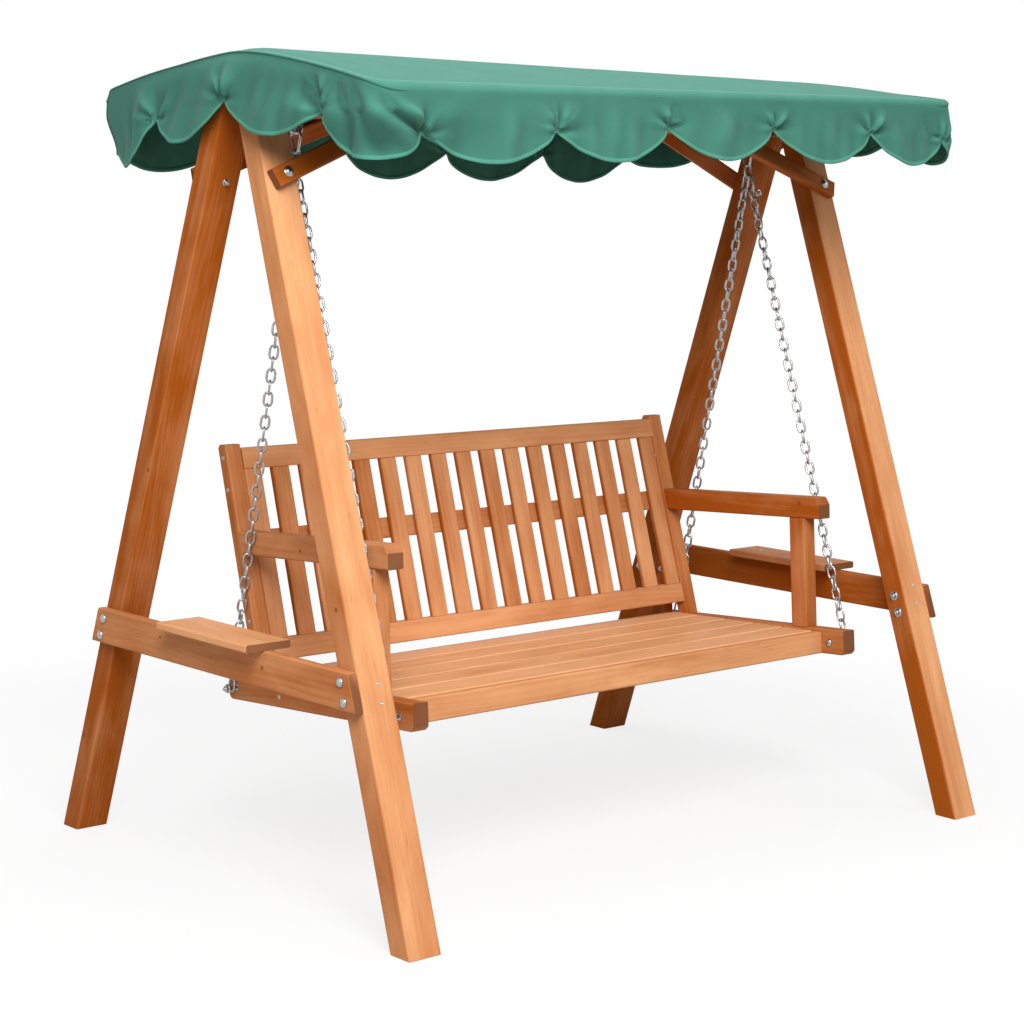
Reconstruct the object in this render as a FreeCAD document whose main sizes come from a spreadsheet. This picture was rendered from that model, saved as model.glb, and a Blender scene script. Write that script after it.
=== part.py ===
import FreeCAD, Part
import math
import os
import re

import Sketcher
from FreeCAD import Placement, Rotation, Vector

# Canopy garden swing: two A-frames of timber joined by a ridge beam, a cloth canopy on a light roof frame,
# and a slatted bench that hangs on four link chains and swings about the bars of two eyes.
# X runs along the bench, the front faces -Y, Z is up, and the origin is on the ground under the middle.
# Lengths are in millimetres and angles in degrees.

SIZES = {
    # A-frames
    "frameWidth": 1872,
    "footSpread": 1350,
    "legWidth": 86,
    "legDepth": 62,
    "beamTop": 112,
    "edgeEase": 3,
    # side rails and the small shelves on them
    "railBottom": 484,
    "railHeight": 83,
    "railThick": 23,
    "shelfWidth": 120,
    "shelfLength": 350,
    "shelfThick": 18,
    "shelfOffset": -14.5,
    # ridge beam, braces and roof frame
    "beamHeight": 115,
    "braceWidth": 45,
    "braceThick": 22,
    "braceDrop": 250,
    "braceSlope": 22,
    "braceLength": 620,
    "braceOverhang": 32,
    "battenWidth": 40,
    "battenInset": 91,
    "rafterWidth": 30,
    "rafterDepth": 32,
    "rafterHeel": 6,
    "rafterInset": 121,
    "eaveThick": 25,
    "eaveDepth": 38,
    # cloth canopy
    "coverSide": 16,
    "coverDepth": 1090,
    "ridgeHeight": 1885,
    "coverRise": 35,
    "roofRise": 95,
    "clothThick": 3,
    "clothGap": 0.3,
    "coverCorner": 45,
    "foldSwell": 14,
    "notchDrop": 74,
    "scallopDrop": 150,
    "gableNotchInset": 210.4,
    "gableNotchDrop": 60,
    "gableMidNotchDrop": 26,
    "gableScallopDrop": 114,
    "cornerDrop": 187,
    # eyes, hooks and chains
    "hangInset": 184,
    "eyeDrop": 35,
    "eyeWire": 9,
    "eyeInnerWidth": 21,
    "eyeBend": 9,
    "eyeCollar": 26,
    "eyeCollarThick": 4,
    "eyeShank": 10,
    "eyeShankLength": 80,
    "hookWire": 7,
    "hookTopRadius": 17,
    "hookBottomRadius": 9,
    "hookSpan": 28,
    "runClearance": 0.3,
    "seatGap": 0.1,
    "ringWire": 5.5,
    "ringInnerWidth": 16,
    "ringInnerLength": 30,
    "chainWire": 5.8,
    "chainInnerWidth": 13,
    "chainLinks": 45,
    "chainSplit": 3.5,
    "firstLink": 38,
    # bench: seat
    "benchTilt": 3.57,
    "chainClearance": 18,
    "seatRailThick": 44,
    "seatRailFront": -348,
    "seatRailRear": 341,
    "seatRailBottom": 376,
    "seatRailHeight": 63,
    "seatRailCorner": 9,
    "apronFront": -275,
    "apronThick": 25,
    "apronBottom": 376,
    "seatTop": 432,
    "slatThick": 22,
    "slatGap": 7,
    "slatCount": 5,
    "seatRear": 262,
    "seatSlope": 1,
    "cleatWidth": 25,
    "cleatHeight": 26,
    "rearRailThick": 30,
    "bearerWidth": 44,
    "chainBoltFront": -300,
    "chainBoltRear": 312,
    "chainBoltHeight": 406,
    "chainBolt": 8,
    # bench: back and arms
    "backTilt": 13.3,
    "backFoot": 207,
    "stileDepth": 34,
    "stileTop": 980,
    "stileRise": 10,
    "stileCorner": 11,
    "backRailHeight": 50,
    "backRailThick": 26,
    "bottomRailHeight": 472,
    "midRailHeight": 723,
    "midRailThick": 15,
    "backSlatWidth": 53,
    "backSlatThick": 13,
    "backSlatInset": 4,
    "backSlatCount": 17,
    "supportThick": 22,
    "supportTop": 900,
    "supportWaist": 690,
    "supportKnee": 560,
    "supportRear": 337,
    "armTop": 778,
    "armHeight": 56,
    "armWidth": 45,
    "armFront": -275,
    "armChamferRise": 20,
    "armChamferRun": 12,
    "postFront": -224,
    "postDepth": 52,
    # chain bolts
    "boltClearance": 0.4,
    "drillOverrun": 1,
    "nutWidth": 13,
    "nutHeight": 7,
    "washerWidth": 22,
    "washerThick": 2.5,
}

# Sizes that follow from those above
DERIVED = {
    "legTop": "ridgeHeight - coverRise",
    "legTilt": "atan((footSpread - beamTop) / (2 * legTop)) / 1 deg",
    "braceFoot": "legTop - braceDrop",
    "battenLength": "frameWidth - 2 * battenInset",
    "rafterPlace": "frameWidth / 2 - rafterInset",
    "coverLength": "frameWidth + 2 * coverSide",
    "eaveHeight": "ridgeHeight - roofRise",
    "notchHeight": "eaveHeight - notchDrop",
    "scallopHeight": "eaveHeight - scallopDrop",
    "gableNotchHeight": "eaveHeight - gableNotchDrop",
    "gableMidNotchHeight": "eaveHeight - gableMidNotchDrop",
    "gableScallopHeight": "eaveHeight - gableScallopDrop",
    "gableNotchPlace": "coverDepth / 2 - gableNotchInset",
    "cornerHeight": "eaveHeight - cornerDrop",
    "hangPlace": "frameWidth / 2 - hangInset",
    "hingeHeight": "legTop - beamHeight - eyeDrop",
    "seatRailInner": "hangPlace - chainClearance - seatRailThick",
}

# Scallop joints along the front and rear edges of the canopy, left to right, as the valance strip was sewn,
# in shares of half its length
FRONT_SHARES = (-0.888, -0.491, -0.111, 0.263, 0.636, 0.924)
REAR_SHARES = (-0.903, -0.555, -0.192, 0.17, 0.543, 0.893)
FOLD_STEPS = 3

doc = FreeCAD.newDocument("CanopySwing")
sheet = doc.addObject("Spreadsheet::Sheet", "Sizes")
for row, (name, value) in enumerate(SIZES.items(), 1):
    sheet.set(f"A{row}", name)
    sheet.setAlias(f"B{row}", name)
    sheet.set(f"B{row}", str(value))
doc.recompute()

nodes = []


def formula(text):
    """The formula with each size written as a reference to its cell, and each derived size as its own formula."""
    def named(word):
        if word[0] in DERIVED:
            return f"({formula(DERIVED[word[0]])})"
        return "Sizes." + word[0] if word[0] in SIZES else word[0]
    return re.sub(r"[A-Za-z]+", named, text)


def number(text):
    """The formula's value now."""
    return float(sheet.evalExpression(formula(text)))


def keep(obj, label, place=None):
    """Makes obj a sub-part of its own."""
    obj.Label = label
    if place is not None:
        obj.Placement = place
    nodes.append(obj)
    return obj


def outline(body, role, corners):
    """A closed sketch of straight lines whose corners are formulas of the sizes."""
    sketch = body.newObject("Sketcher::SketchObject", "Outline")
    plane = next(f for f in body.Origin.OriginFeatures if f.Role == role)
    sketch.AttachmentSupport = [(plane, "")]
    sketch.MapMode = "FlatFace"
    points = [Vector(number(a), number(b), 0) for a, b in corners]
    count = len(points)
    for i in range(count):
        sketch.addGeometry(Part.LineSegment(points[i], points[(i + 1) % count]))
    for i in range(count):
        sketch.addConstraint(Sketcher.Constraint("Coincident", i, 2, (i + 1) % count, 1))
    for i, corner in enumerate(corners):
        for kind, value, text in zip(("DistanceX", "DistanceY"), points[i], corner):
            index = sketch.addConstraint(Sketcher.Constraint(kind, -1, 1, i, 1, value))
            sketch.setExpression(f"Constraints[{index}]", formula(text))
    return sketch


def ease(body, base):
    """Takes the sharp arris off the long edges."""
    doc.recompute()
    longest = max(edge.Length for edge in base.Shape.Edges)
    chamfer = body.newObject("PartDesign::Chamfer", "Ease")
    chamfer.Base = (base, [f"Edge{i}" for i, e in enumerate(base.Shape.Edges, 1) if e.Length > longest / 2])
    chamfer.setExpression("Size", formula("edgeEase"))


def timber(corners, length, role="YZ_Plane"):
    """A length of timber with the given outline, run out square to its plane."""
    body = doc.addObject("PartDesign::Body", "Timber")
    pad = body.newObject("PartDesign::Pad", "Length")
    pad.Profile = outline(body, role, corners)
    pad.setExpression("Length", formula(length))
    ease(body, pad)
    return body


def rectangle(left, bottom, right, top):
    return [(left, bottom), (right, bottom), (right, top), (left, top)]


def drill(body, places, radius, length):
    """The timber with a bolt hole along each place's own Z axis."""
    bits = []
    for place in places:
        bit = doc.addObject("Part::Cylinder", "Drill")
        bit.setExpression("Radius", formula(radius))
        bit.setExpression("Height", formula(length))
        bit.Placement = place
        bits.append(bit)
    holes = doc.addObject("Part::Compound", "Holes")
    holes.Links = bits
    cut = doc.addObject("Part::Cut", "Drilled")
    cut.Base = body
    cut.Tool = holes
    return cut


def faceted(stages, sides=8):
    """A piece of round section about Z with flat sides, through (radius, height) stages."""
    turns = [2 * math.pi * i / sides for i in range(sides + 1)]
    rings = []
    for radius, z in stages:
        rings.append(Part.makePolygon([Vector(radius * math.cos(a), radius * math.sin(a), z) for a in turns]))
    return Part.makeLoft(rings, True, True)


def hexagon(width, height):
    """A nut blank standing on the XY plane."""
    radius = width / math.sqrt(3)
    turns = [math.radians(60 * i) for i in range(7)]
    wire = Part.makePolygon([Vector(radius * math.cos(a), radius * math.sin(a), 0) for a in turns])
    return Part.Face(wire).extrude(Vector(0, 0, height))


def feature(label, shapes, place=None):
    obj = doc.addObject("Part::Feature", "Piece")
    obj.Shape = shapes[0] if len(shapes) == 1 else Part.makeCompound(shapes)
    return keep(obj, label, place)


size = {name: number(name) for name in (*SIZES, *DERIVED)}
frontNotches = [share * size["coverLength"] / 2 for share in FRONT_SHARES]
rearNotches = [share * size["coverLength"] / 2 for share in REAR_SHARES]
legRun = number("tan(legTilt * 1 deg)")
SIDES = (("left", -1), ("right", 1))
ENDS = (("front", -1), ("rear", 1))


def sideways(inner, thickness, sign):
    """Where an outline in the YZ plane starts, to lie between inner and inner + thickness on that side."""
    return Placement(Vector(inner if sign > 0 else -inner - thickness, 0, 0), Rotation())


# A-frames


def bracePlace(xSign, ySign):
    """A plane on the leg's outer face, at its middle line where the brace is fixed, facing into the leg."""
    face = number("footSpread / 2") - size["braceFoot"] * legRun
    spot = Vector(xSign * number("frameWidth / 2 - legWidth / 2"), ySign * face, size["braceFoot"])
    return Placement(spot, Rotation(Vector(1, 0, 0), ySign * (90 + size["legTilt"])))


def leg(xName, xSign, yName, ySign):
    run = "footSpread / 2 - legDepth / cos(legTilt * 1 deg)"
    outer = [
        ("footSpread / 2", "0"),
        ("footSpread / 2 - legTop * tan(legTilt * 1 deg)", "legTop"),
        ("0", "legTop"),
        ("0", f"({run}) / tan(legTilt * 1 deg)"),
        (run, "0"),
    ]
    corners = [(y if ySign > 0 else f"-({y})", z) for y, z in outer]
    body = timber(corners, "legWidth")
    place = sideways(number("frameWidth / 2 - legWidth"), size["legWidth"], xSign)
    keep(body, f"leg_{yName}_{xName}", place)


def sideRail(xName, xSign):
    low, high = "railBottom", "railBottom + railHeight"
    reach = "footSpread / 2 - ({}) * tan(legTilt * 1 deg)"
    corners = [
        (f"-({reach.format(low)})", low),
        (reach.format(low), low),
        (reach.format(high), high),
        (f"-({reach.format(high)})", high),
    ]
    body = timber(corners, "railThick")
    keep(body, f"side_rail_{xName}", sideways(number("frameWidth / 2"), size["railThick"], xSign))


def shelf(xName, xSign):
    bottom = "railBottom + railHeight"
    rear = "shelfOffset + shelfLength / 2"
    front = "shelfOffset - shelfLength / 2"
    body = timber(rectangle(front, bottom, rear, f"{bottom} + shelfThick"), "shelfWidth")
    inner = number("frameWidth / 2 + railThick / 2 - shelfWidth / 2")
    keep(body, f"shelf_{xName}", sideways(inner, size["shelfWidth"], xSign))


for xName, xSign in SIDES:
    for yName, ySign in ENDS:
        leg(xName, xSign, yName, ySign)
    sideRail(xName, xSign)
    shelf(xName, xSign)

# Ridge beam, its sides planed to the slope of the legs, bored from below for the eyes

beamFoot = "legTop - beamHeight"
beamReach = "footSpread / 2 - ({}) * tan(legTilt * 1 deg)"
beam = timber(
    [
        (f"-({beamReach.format(beamFoot)})", beamFoot),
        (beamReach.format(beamFoot), beamFoot),
        (beamReach.format("legTop"), "legTop"),
        (f"-({beamReach.format('legTop')})", "legTop"),
    ],
    "frameWidth - 2 * legWidth",
)
beam.Placement = Placement(Vector(number("legWidth - frameWidth / 2"), 0, 0), Rotation())
boreFoot = number(f"{beamFoot} - drillOverrun")
eyeBores = [Placement(Vector(sign * size["hangPlace"], 0, boreFoot), Rotation()) for _, sign in SIDES]
keep(drill(beam, eyeBores, "eyeShank / 2 + boltClearance", "eyeShankLength + eyeCollarThick"), "ridge_beam")


def brace(xName, xSign, yName, ySign):
    """A flat board on the outer face of the leg, running up and inwards to the side of the beam."""
    body = timber(
        rectangle("-braceOverhang", "-braceWidth / 2", "braceLength - braceOverhang", "braceWidth / 2"),
        "braceThick",
        "XY_Plane",
    )
    place = bracePlace(xSign, ySign)
    tilt = math.radians(size["legTilt"])
    rise = math.radians(size["braceSlope"])
    up = Vector(0, -ySign * math.sin(tilt), math.cos(tilt))
    run = Vector(-xSign, 0, 0) * math.cos(rise) + up * math.sin(rise)
    flat = place.inverse().Rotation.multVec(run)
    turn = Rotation(Vector(0, 0, 1), math.degrees(math.atan2(flat.y, flat.x)))
    keep(body, f"brace_{yName}_{xName}", place * Placement(Vector(0, 0, -size["braceThick"]), turn))


for xName, xSign in SIDES:
    for yName, ySign in ENDS:
        brace(xName, xSign, yName, ySign)

# Roof frame under the cloth

pitch = "(ridgeHeight - eaveHeight) / (coverDepth / 2)"
underRidge = f"ridgeHeight - clothThick * sqrt(1 + ({pitch}) ^ 2) - clothGap"


def roofLine(y):
    return f"{underRidge} - ({y}) * {pitch}"


batten = timber(
    [
        ("-battenWidth / 2", "legTop"),
        ("battenWidth / 2", "legTop"),
        ("battenWidth / 2", roofLine("battenWidth / 2")),
        ("0", roofLine("0")),
        ("-battenWidth / 2", roofLine("battenWidth / 2")),
    ],
    "battenLength",
)
keep(batten, "ridge_batten", Placement(Vector(number("-battenLength / 2"), 0, 0), Rotation()))

eaveOuter = "coverDepth / 2 - clothThick - clothGap"
eaveInner = f"{eaveOuter} - eaveThick"


def flipped(corners, sign):
    return corners if sign > 0 else [(f"-({y})", z) for y, z in corners]


for yName, ySign in ENDS:
    corners = [
        (eaveInner, f"{roofLine(eaveOuter)} - eaveDepth"),
        (eaveOuter, f"{roofLine(eaveOuter)} - eaveDepth"),
        (eaveOuter, roofLine(eaveOuter)),
        (eaveInner, roofLine(eaveInner)),
    ]
    eave = timber(flipped(corners, ySign), "coverLength - 2 * coverCorner")
    start = Vector(number("coverCorner - coverLength / 2"), 0, 0)
    keep(eave, f"eave_rail_{yName}", Placement(start, Rotation()))
    seat = f"{beamReach.format('legTop')} + rafterHeel"
    heel = f"{seat} + rafterHeel"
    corners = [
        ("battenWidth / 2", "legTop"),
        (seat, "legTop"),
        (heel, f"{roofLine(heel)} - rafterDepth"),
        (eaveInner, f"{roofLine(eaveInner)} - rafterDepth"),
        (eaveInner, roofLine(eaveInner)),
        ("battenWidth / 2", roofLine("battenWidth / 2")),
    ]
    for xName, xSign in SIDES:
        rafter = timber(flipped(corners, ySign), "rafterWidth")
        place = sideways(size["rafterPlace"] - size["rafterWidth"] / 2, size["rafterWidth"], xSign)
        keep(rafter, f"rafter_{yName}_{xName}", place)

# Cloth canopy: a low gabled roof with a scalloped valance that swells between the scallop joints


def rim(inset, height, swell):
    """The canopy's edge at one height: each scallop swells outwards in a shallow bow of straight runs."""
    long = size["coverLength"] / 2 - inset
    deep = size["coverDepth"] / 2 - inset
    bend = size["coverCorner"] - inset
    gable = (-size["gableNotchPlace"], 0, size["gableNotchPlace"])
    runs = (
        [(x, -deep) for x in (bend - long, *frontNotches, long - bend)],
        [(long, y) for y in (bend - deep, *gable, deep - bend)],
        [(x, deep) for x in (long - bend, *reversed(rearNotches), bend - long)],
        [(-long, y) for y in (deep - bend, *reversed(gable), bend - deep)],
    )
    points = []
    facings = ((0, -1), (1, 0), (0, 1), (-1, 0))
    for side, run in enumerate(runs):
        outwards = Vector(*facings[side], 0)
        following = Vector(*facings[(side + 1) % 4], 0)
        for a, b in zip(run, run[1:]):
            start, end = Vector(*a, height), Vector(*b, height)
            rise = outwards * swell * min(1, (end - start).Length / size["gableNotchPlace"])
            for t in (i / FOLD_STEPS for i in range(FOLD_STEPS)):
                points.append(start + (end - start) * t + rise * 4 * t * (1 - t))
        centre = Vector(*run[-1], height) - outwards * bend
        for turn in (math.pi / 2 * i / FOLD_STEPS for i in range(FOLD_STEPS)):
            points.append(centre + (outwards * math.cos(turn) + following * math.sin(turn)) * bend)
    return points


def closedFace(points):
    return Part.Face(Part.makePolygon(points + points[:1]))


def between(inset):
    """The solid inside that inset: straight at the eaves and swelling towards its foot in flat facets."""
    top = rim(inset, size["eaveHeight"], 0)
    foot = rim(inset, size["cornerHeight"] - size["clothThick"], size["foldSwell"])
    faces = [closedFace(top), closedFace(foot)]
    for i in range(len(top)):
        after = (i + 1) % len(top)
        faces.append(closedFace([top[i], foot[i], foot[after]]))
        faces.append(closedFace([top[i], foot[after], top[after]]))
    skirt = Part.makeSolid(Part.makeShell(faces))
    rise = number("ridgeHeight - eaveHeight + clothThick")
    return skirt.fuse(closedFace(top).extrude(Vector(0, 0, rise)))


def scallops(notches, low, end, corner):
    """Points (place, height) of a scalloped lower edge from corner to corner, bowed between its joints."""
    steps = [i / (2 * FOLD_STEPS) for i in range(2 * FOLD_STEPS)]
    (firstPlace, firstHeight), (lastPlace, lastHeight) = notches[0], notches[-1]
    points = [((firstPlace + end) * t - end, corner + (firstHeight - corner) * t ** 2) for t in steps]
    for (a, aHeight), (b, bHeight) in zip(notches, notches[1:]):
        depth = (aHeight + bHeight) / 2 - low
        for t in steps:
            straight = aHeight + (bHeight - aHeight) * t
            points.append((a + (b - a) * t, straight - depth * 4 * t * (1 - t)))
    fall = lastHeight - corner
    points += [(lastPlace + (end - lastPlace) * t, corner + fall * (1 - t) ** 2) for t in steps]
    return points + [(end, corner)]


def curtain(edge, toSpace, sweep):
    """The prism above a scalloped edge."""
    top = size["ridgeHeight"] + size["legTop"]
    corners = [*edge, (edge[-1][0], top), (edge[0][0], top)]
    return closedFace([toSpace(*corner) for corner in corners]).extrude(sweep)


def gablePrism(drop):
    """The space under the roof's surface, lowered by drop."""
    long = size["coverLength"]
    deep = size["coverDepth"]
    fall = 2 * (size["ridgeHeight"] - size["eaveHeight"])
    line = [(-deep, 0), (deep, 0), (deep, size["ridgeHeight"] - fall - drop),
            (0, size["ridgeHeight"] - drop), (-deep, size["ridgeHeight"] - fall - drop)]
    return closedFace([Vector(-long, y, z) for y, z in line]).extrude(Vector(2 * long, 0, 0))


def canopy():
    half = size["coverLength"] / 2 + 3 * size["foldSwell"]
    deep = size["coverDepth"] / 2 + 3 * size["foldSwell"]
    front = scallops([(x, size["notchHeight"]) for x in frontNotches], size["scallopHeight"], half,
                     size["cornerHeight"])
    rear = scallops([(x, size["notchHeight"]) for x in rearNotches], size["scallopHeight"], half,
                    size["cornerHeight"])
    gableNotches = [(-size["gableNotchPlace"], size["gableNotchHeight"]), (0, size["gableMidNotchHeight"]),
                    (size["gableNotchPlace"], size["gableNotchHeight"])]
    gable = scallops(gableNotches, size["gableScallopHeight"], deep, size["cornerHeight"])
    lengthwise = curtain(front, lambda u, z: Vector(u, 0, z), Vector(0, -2 * deep, 0)).fuse(
        curtain(rear, lambda u, z: Vector(u, 0, z), Vector(0, 2 * deep, 0)))
    across = curtain(gable, lambda u, z: Vector(-2 * half, u, z), Vector(4 * half, 0, 0))
    outer = between(0)
    wall = outer.cut(between(size["clothThick"])).common(gablePrism(0)).common(lengthwise).common(across)
    drop = number(f"clothThick * sqrt(1 + ({pitch}) ^ 2)")
    plan = closedFace(rim(0, size["legTop"] - size["beamHeight"], 0))
    roof = gablePrism(0).cut(gablePrism(drop)).common(plan.extrude(Vector(0, 0, size["ridgeHeight"])))
    return wall.fuse(roof)


feature("canopy_cover", [canopy().Solids[0]])

# Eyes: a collared shank in the beam and a loop with a straight bottom bar, the swing's axis


def pipe(edges, profile):
    """A closed bar along the edges."""
    path = Part.Wire(edges)
    return path.makePipeShell([profile], True, False, 2)


def barSection(centre, side, other, radius):
    """A six-sided section of the bar, square to the path at its start."""
    angles = [math.pi / 3 * i for i in range(6)]
    points = [centre + side * radius * math.cos(a) + other * radius * math.sin(a) for a in angles]
    return Part.makePolygon(points + points[:1])


def eye():
    """The eye about its bottom bar's middle."""
    wire = size["eyeWire"]
    half = (size["eyeInnerWidth"] + wire) / 2
    rise = number("legTop - beamHeight - hingeHeight - eyeCollarThick - eyeWire / 2")
    bend = size["eyeBend"]
    c = bend * (1 - math.sqrt(0.5))

    def at(x, z):
        return Vector(x, 0, z)

    edges = [
        Part.LineSegment(at(bend - half, 0), at(half - bend, 0)).toShape(),
        Part.Arc(at(half - bend, 0), at(half - c, c), at(half, bend)).toShape(),
        Part.LineSegment(at(half, bend), at(half, rise - bend)).toShape(),
        Part.Arc(at(half, rise - bend), at(half - c, rise - c), at(half - bend, rise)).toShape(),
        Part.LineSegment(at(half - bend, rise), at(bend - half, rise)).toShape(),
        Part.Arc(at(bend - half, rise), at(c - half, rise - c), at(-half, rise - bend)).toShape(),
        Part.LineSegment(at(-half, rise - bend), at(-half, bend)).toShape(),
        Part.Arc(at(-half, bend), at(c - half, c), at(bend - half, 0)).toShape(),
    ]
    loop = pipe(edges, barSection(at(bend - half, 0), Vector(0, 1, 0), Vector(0, 0, 1), wire / 2))
    bar = Part.makeCylinder(wire / 2, 2 * (half - bend), at(bend - half, 0), Vector(1, 0, 0))
    seat = rise + wire / 2 + size["eyeCollarThick"]
    shank = size["eyeShank"] / 2
    rimRadius = size["eyeCollar"] / 2
    collar = faceted([(rimRadius, seat - size["eyeCollarThick"]), (rimRadius, seat)], 12)
    stem = faceted([(shank, rise), (shank, seat + size["eyeShankLength"])])
    return loop.fuse([bar, collar, stem])


for xName, xSign in SIDES:
    feature(f"eye_{xName}", [eye().Solids[0]],
            Placement(Vector(xSign * size["hangPlace"], 0, size["hingeHeight"]), Rotation()))

# Bench: everything below is laid out level and then hangs tilted about the swing's axis

axis = Vector(0, 0, size["hingeHeight"])
hang = Placement(axis, Rotation(Vector(1, 0, 0), -size["benchTilt"])) * Placement(-axis, Rotation())


def benchPiece(body, label, place=Placement()):
    return keep(body, label, hang * place)


def benchSide(inner, thickness, sign):
    return sideways(number(inner), number(thickness), sign)


railTop = "seatRailBottom + seatRailHeight"
slope = "tan(backTilt * 1 deg)"


def backFront(height):
    """Y of the back's front face at that height."""
    return f"backFoot + (({height}) - ({railTop})) * {slope}"


def boltBore(side, y):
    """A chain bolt's hole through the piece that starts at that side."""
    start = Vector(side.Base.x - size["drillOverrun"], size[y], size["chainBoltHeight"])
    return hang * Placement(start, Rotation(Vector(0, 1, 0), 90))


stileRun = "stileDepth / cos(backTilt * 1 deg)"
seatFront = "apronFront + apronThick"


def seatLine(y):
    """Height of the seat's top at y."""
    return f"seatTop + (({y}) - apronFront) * tan(seatSlope * 1 deg)"


def underSeat(front, bottom, rear):
    """Outline of a piece under the slats, its top planed to the seat's slope."""
    return [(front, bottom), (rear, bottom), (rear, f"{seatLine(rear)} - slatThick"),
            (front, f"{seatLine(front)} - slatThick")]


chainBoltEnds = (("front", "chainBoltFront"), ("rear", "chainBoltRear"))
for xName, xSign in SIDES:
    seatRail = timber(
        [
            ("seatRailFront", "seatRailBottom + seatRailCorner"),
            ("seatRailFront + seatRailCorner", "seatRailBottom"),
            ("seatRailRear - seatRailCorner", "seatRailBottom"),
            ("seatRailRear", "seatRailBottom + seatRailCorner"),
            ("seatRailRear", railTop),
            ("seatRailFront", railTop),
        ],
        "seatRailThick",
    )
    side = benchSide("seatRailInner", "seatRailThick", xSign)
    seatRail.Placement = hang * side
    bores = [boltBore(side, y) for _, y in chainBoltEnds]
    drilled = drill(seatRail, bores, "chainBolt / 2 + boltClearance", "seatRailThick + 2 * drillOverrun")
    keep(drilled, f"seat_rail_{xName}")

    cleat = timber(
        underSeat(seatFront, "seatTop - slatThick - cleatHeight", "seatRear - rearRailThick"), "cleatWidth")
    benchPiece(cleat, f"seat_cleat_{xName}", benchSide("seatRailInner - cleatWidth", "cleatWidth", xSign))

    stile = timber(
        [
            (backFront(railTop), railTop),
            (f"{backFront(railTop)} + {stileRun}", railTop),
            (f"{backFront('stileTop - stileCorner')} + {stileRun}", "stileTop - stileCorner"),
            (f"{backFront('stileTop')} + {stileRun} - stileCorner", "stileTop"),
            (backFront("stileTop"), "stileTop"),
        ],
        "seatRailThick",
    )
    benchPiece(stile, f"back_stile_{xName}", side)

    support = timber(
        [
            ("seatRear + boltClearance", "seatRailBottom"),
            ("supportRear", "seatRailBottom"),
            (f"{backFront('supportKnee')} + {stileRun} + supportThick", "supportKnee"),
            (f"{backFront('supportWaist')} + {stileRun}", "supportWaist"),
            (f"{backFront('supportTop')} + {stileRun}", "supportTop"),
            (f"{backFront('supportTop')} + backRailThick / cos(backTilt * 1 deg)", "supportTop"),
            (f"{backFront('bottomRailHeight')} + backRailThick / cos(backTilt * 1 deg)", "bottomRailHeight"),
            ("seatRear + boltClearance", "bottomRailHeight - seatRailCorner"),
        ],
        "supportThick",
    )
    inside = benchSide("seatRailInner - supportThick", "supportThick", xSign)
    support.Placement = hang * inside
    bores = [boltBore(inside, "chainBoltRear")]
    drilled = drill(support, bores, "chainBolt / 2 + boltClearance", "supportThick + 2 * drillOverrun")
    keep(drilled, f"back_support_{xName}")

    arm = timber(
        [
            ("armFront", "armTop - armHeight"),
            (backFront("armTop - armHeight"), "armTop - armHeight"),
            (backFront("armTop"), "armTop"),
            ("armFront + armChamferRun", "armTop"),
            ("armFront", "armTop - armChamferRise"),
        ],
        "armWidth",
    )
    benchPiece(arm, f"arm_{xName}", benchSide("seatRailInner", "armWidth", xSign))
    post = timber(
        rectangle("postFront", railTop, "postFront + postDepth", "armTop - armHeight"), "seatRailThick")
    benchPiece(post, f"arm_post_{xName}", side)


def crosswise(corners, half):
    """Timber along X, between minus half and half."""
    return timber(corners, f"2 * ({half})"), Placement(Vector(-number(half), 0, 0), Rotation())


body, place = crosswise(
    rectangle("apronFront", "apronBottom", seatFront, "seatTop"), "seatRailInner")
benchPiece(body, "front_apron", place)
body, place = crosswise(
    underSeat("seatRear - rearRailThick", "apronBottom", "seatRear"), "seatRailInner")
benchPiece(body, "rear_seat_rail", place)
body, place = crosswise(
    underSeat(seatFront, "apronBottom", "seatRear - rearRailThick"), "bearerWidth / 2")
benchPiece(body, "seat_bearer", place)

seatRun = f"(seatRear - ({seatFront}))"
slatWidth = f"({seatRun} / slatCount - slatGap)"
for index in range(int(size["slatCount"])):
    front = f"{seatFront} + slatGap + {index} * {seatRun} / slatCount"
    rear = f"{front} + {slatWidth}"
    corners = [(front, f"{seatLine(front)} - slatThick"), (rear, f"{seatLine(rear)} - slatThick"),
               (rear, seatLine(rear)), (front, seatLine(front))]
    body, place = crosswise(corners, "seatRailInner")
    benchPiece(body, f"seat_slat_{index + 1}", place)


def backBoard(low, high, front, thick):
    """Outline of a board in the back, between two heights and two depths from the back's front face."""
    depth = " + ({}) / cos(backTilt * 1 deg)"
    return [
        (backFront(low) + depth.format(front), low),
        (backFront(low) + depth.format(f"{front} + {thick}"), low),
        (backFront(high) + depth.format(f"{front} + {thick}"), high),
        (backFront(high) + depth.format(front), high),
    ]


for name, low, front, thick in (
    ("back_top_rail", "stileTop - stileRise - backRailHeight", "0", "backRailThick"),
    ("back_mid_rail", "midRailHeight", "backSlatInset + backSlatThick", "midRailThick"),
    ("back_bottom_rail", "bottomRailHeight", "0", "backRailThick"),
):
    half = "seatRailInner - supportThick" if name == "back_mid_rail" else "seatRailInner"
    body, place = crosswise(backBoard(low, f"{low} + backRailHeight", front, thick), half)
    benchPiece(body, name, place)

slat = timber(
    backBoard(
        "bottomRailHeight + backRailHeight", "stileTop - stileRise - backRailHeight", "backSlatInset",
        "backSlatThick"),
    "backSlatWidth",
)
doc.recompute()
step = number("(2 * seatRailInner - backSlatWidth) / (backSlatCount - 1)")
slats = []
for index in range(int(size["backSlatCount"])):
    copy = slat.Shape.copy()
    copy.translate(Vector(-size["seatRailInner"] + index * step, 0, 0))
    slats.append(copy)
feature("back_slats", slats, hang)

# Hooks, rings and chains


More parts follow.
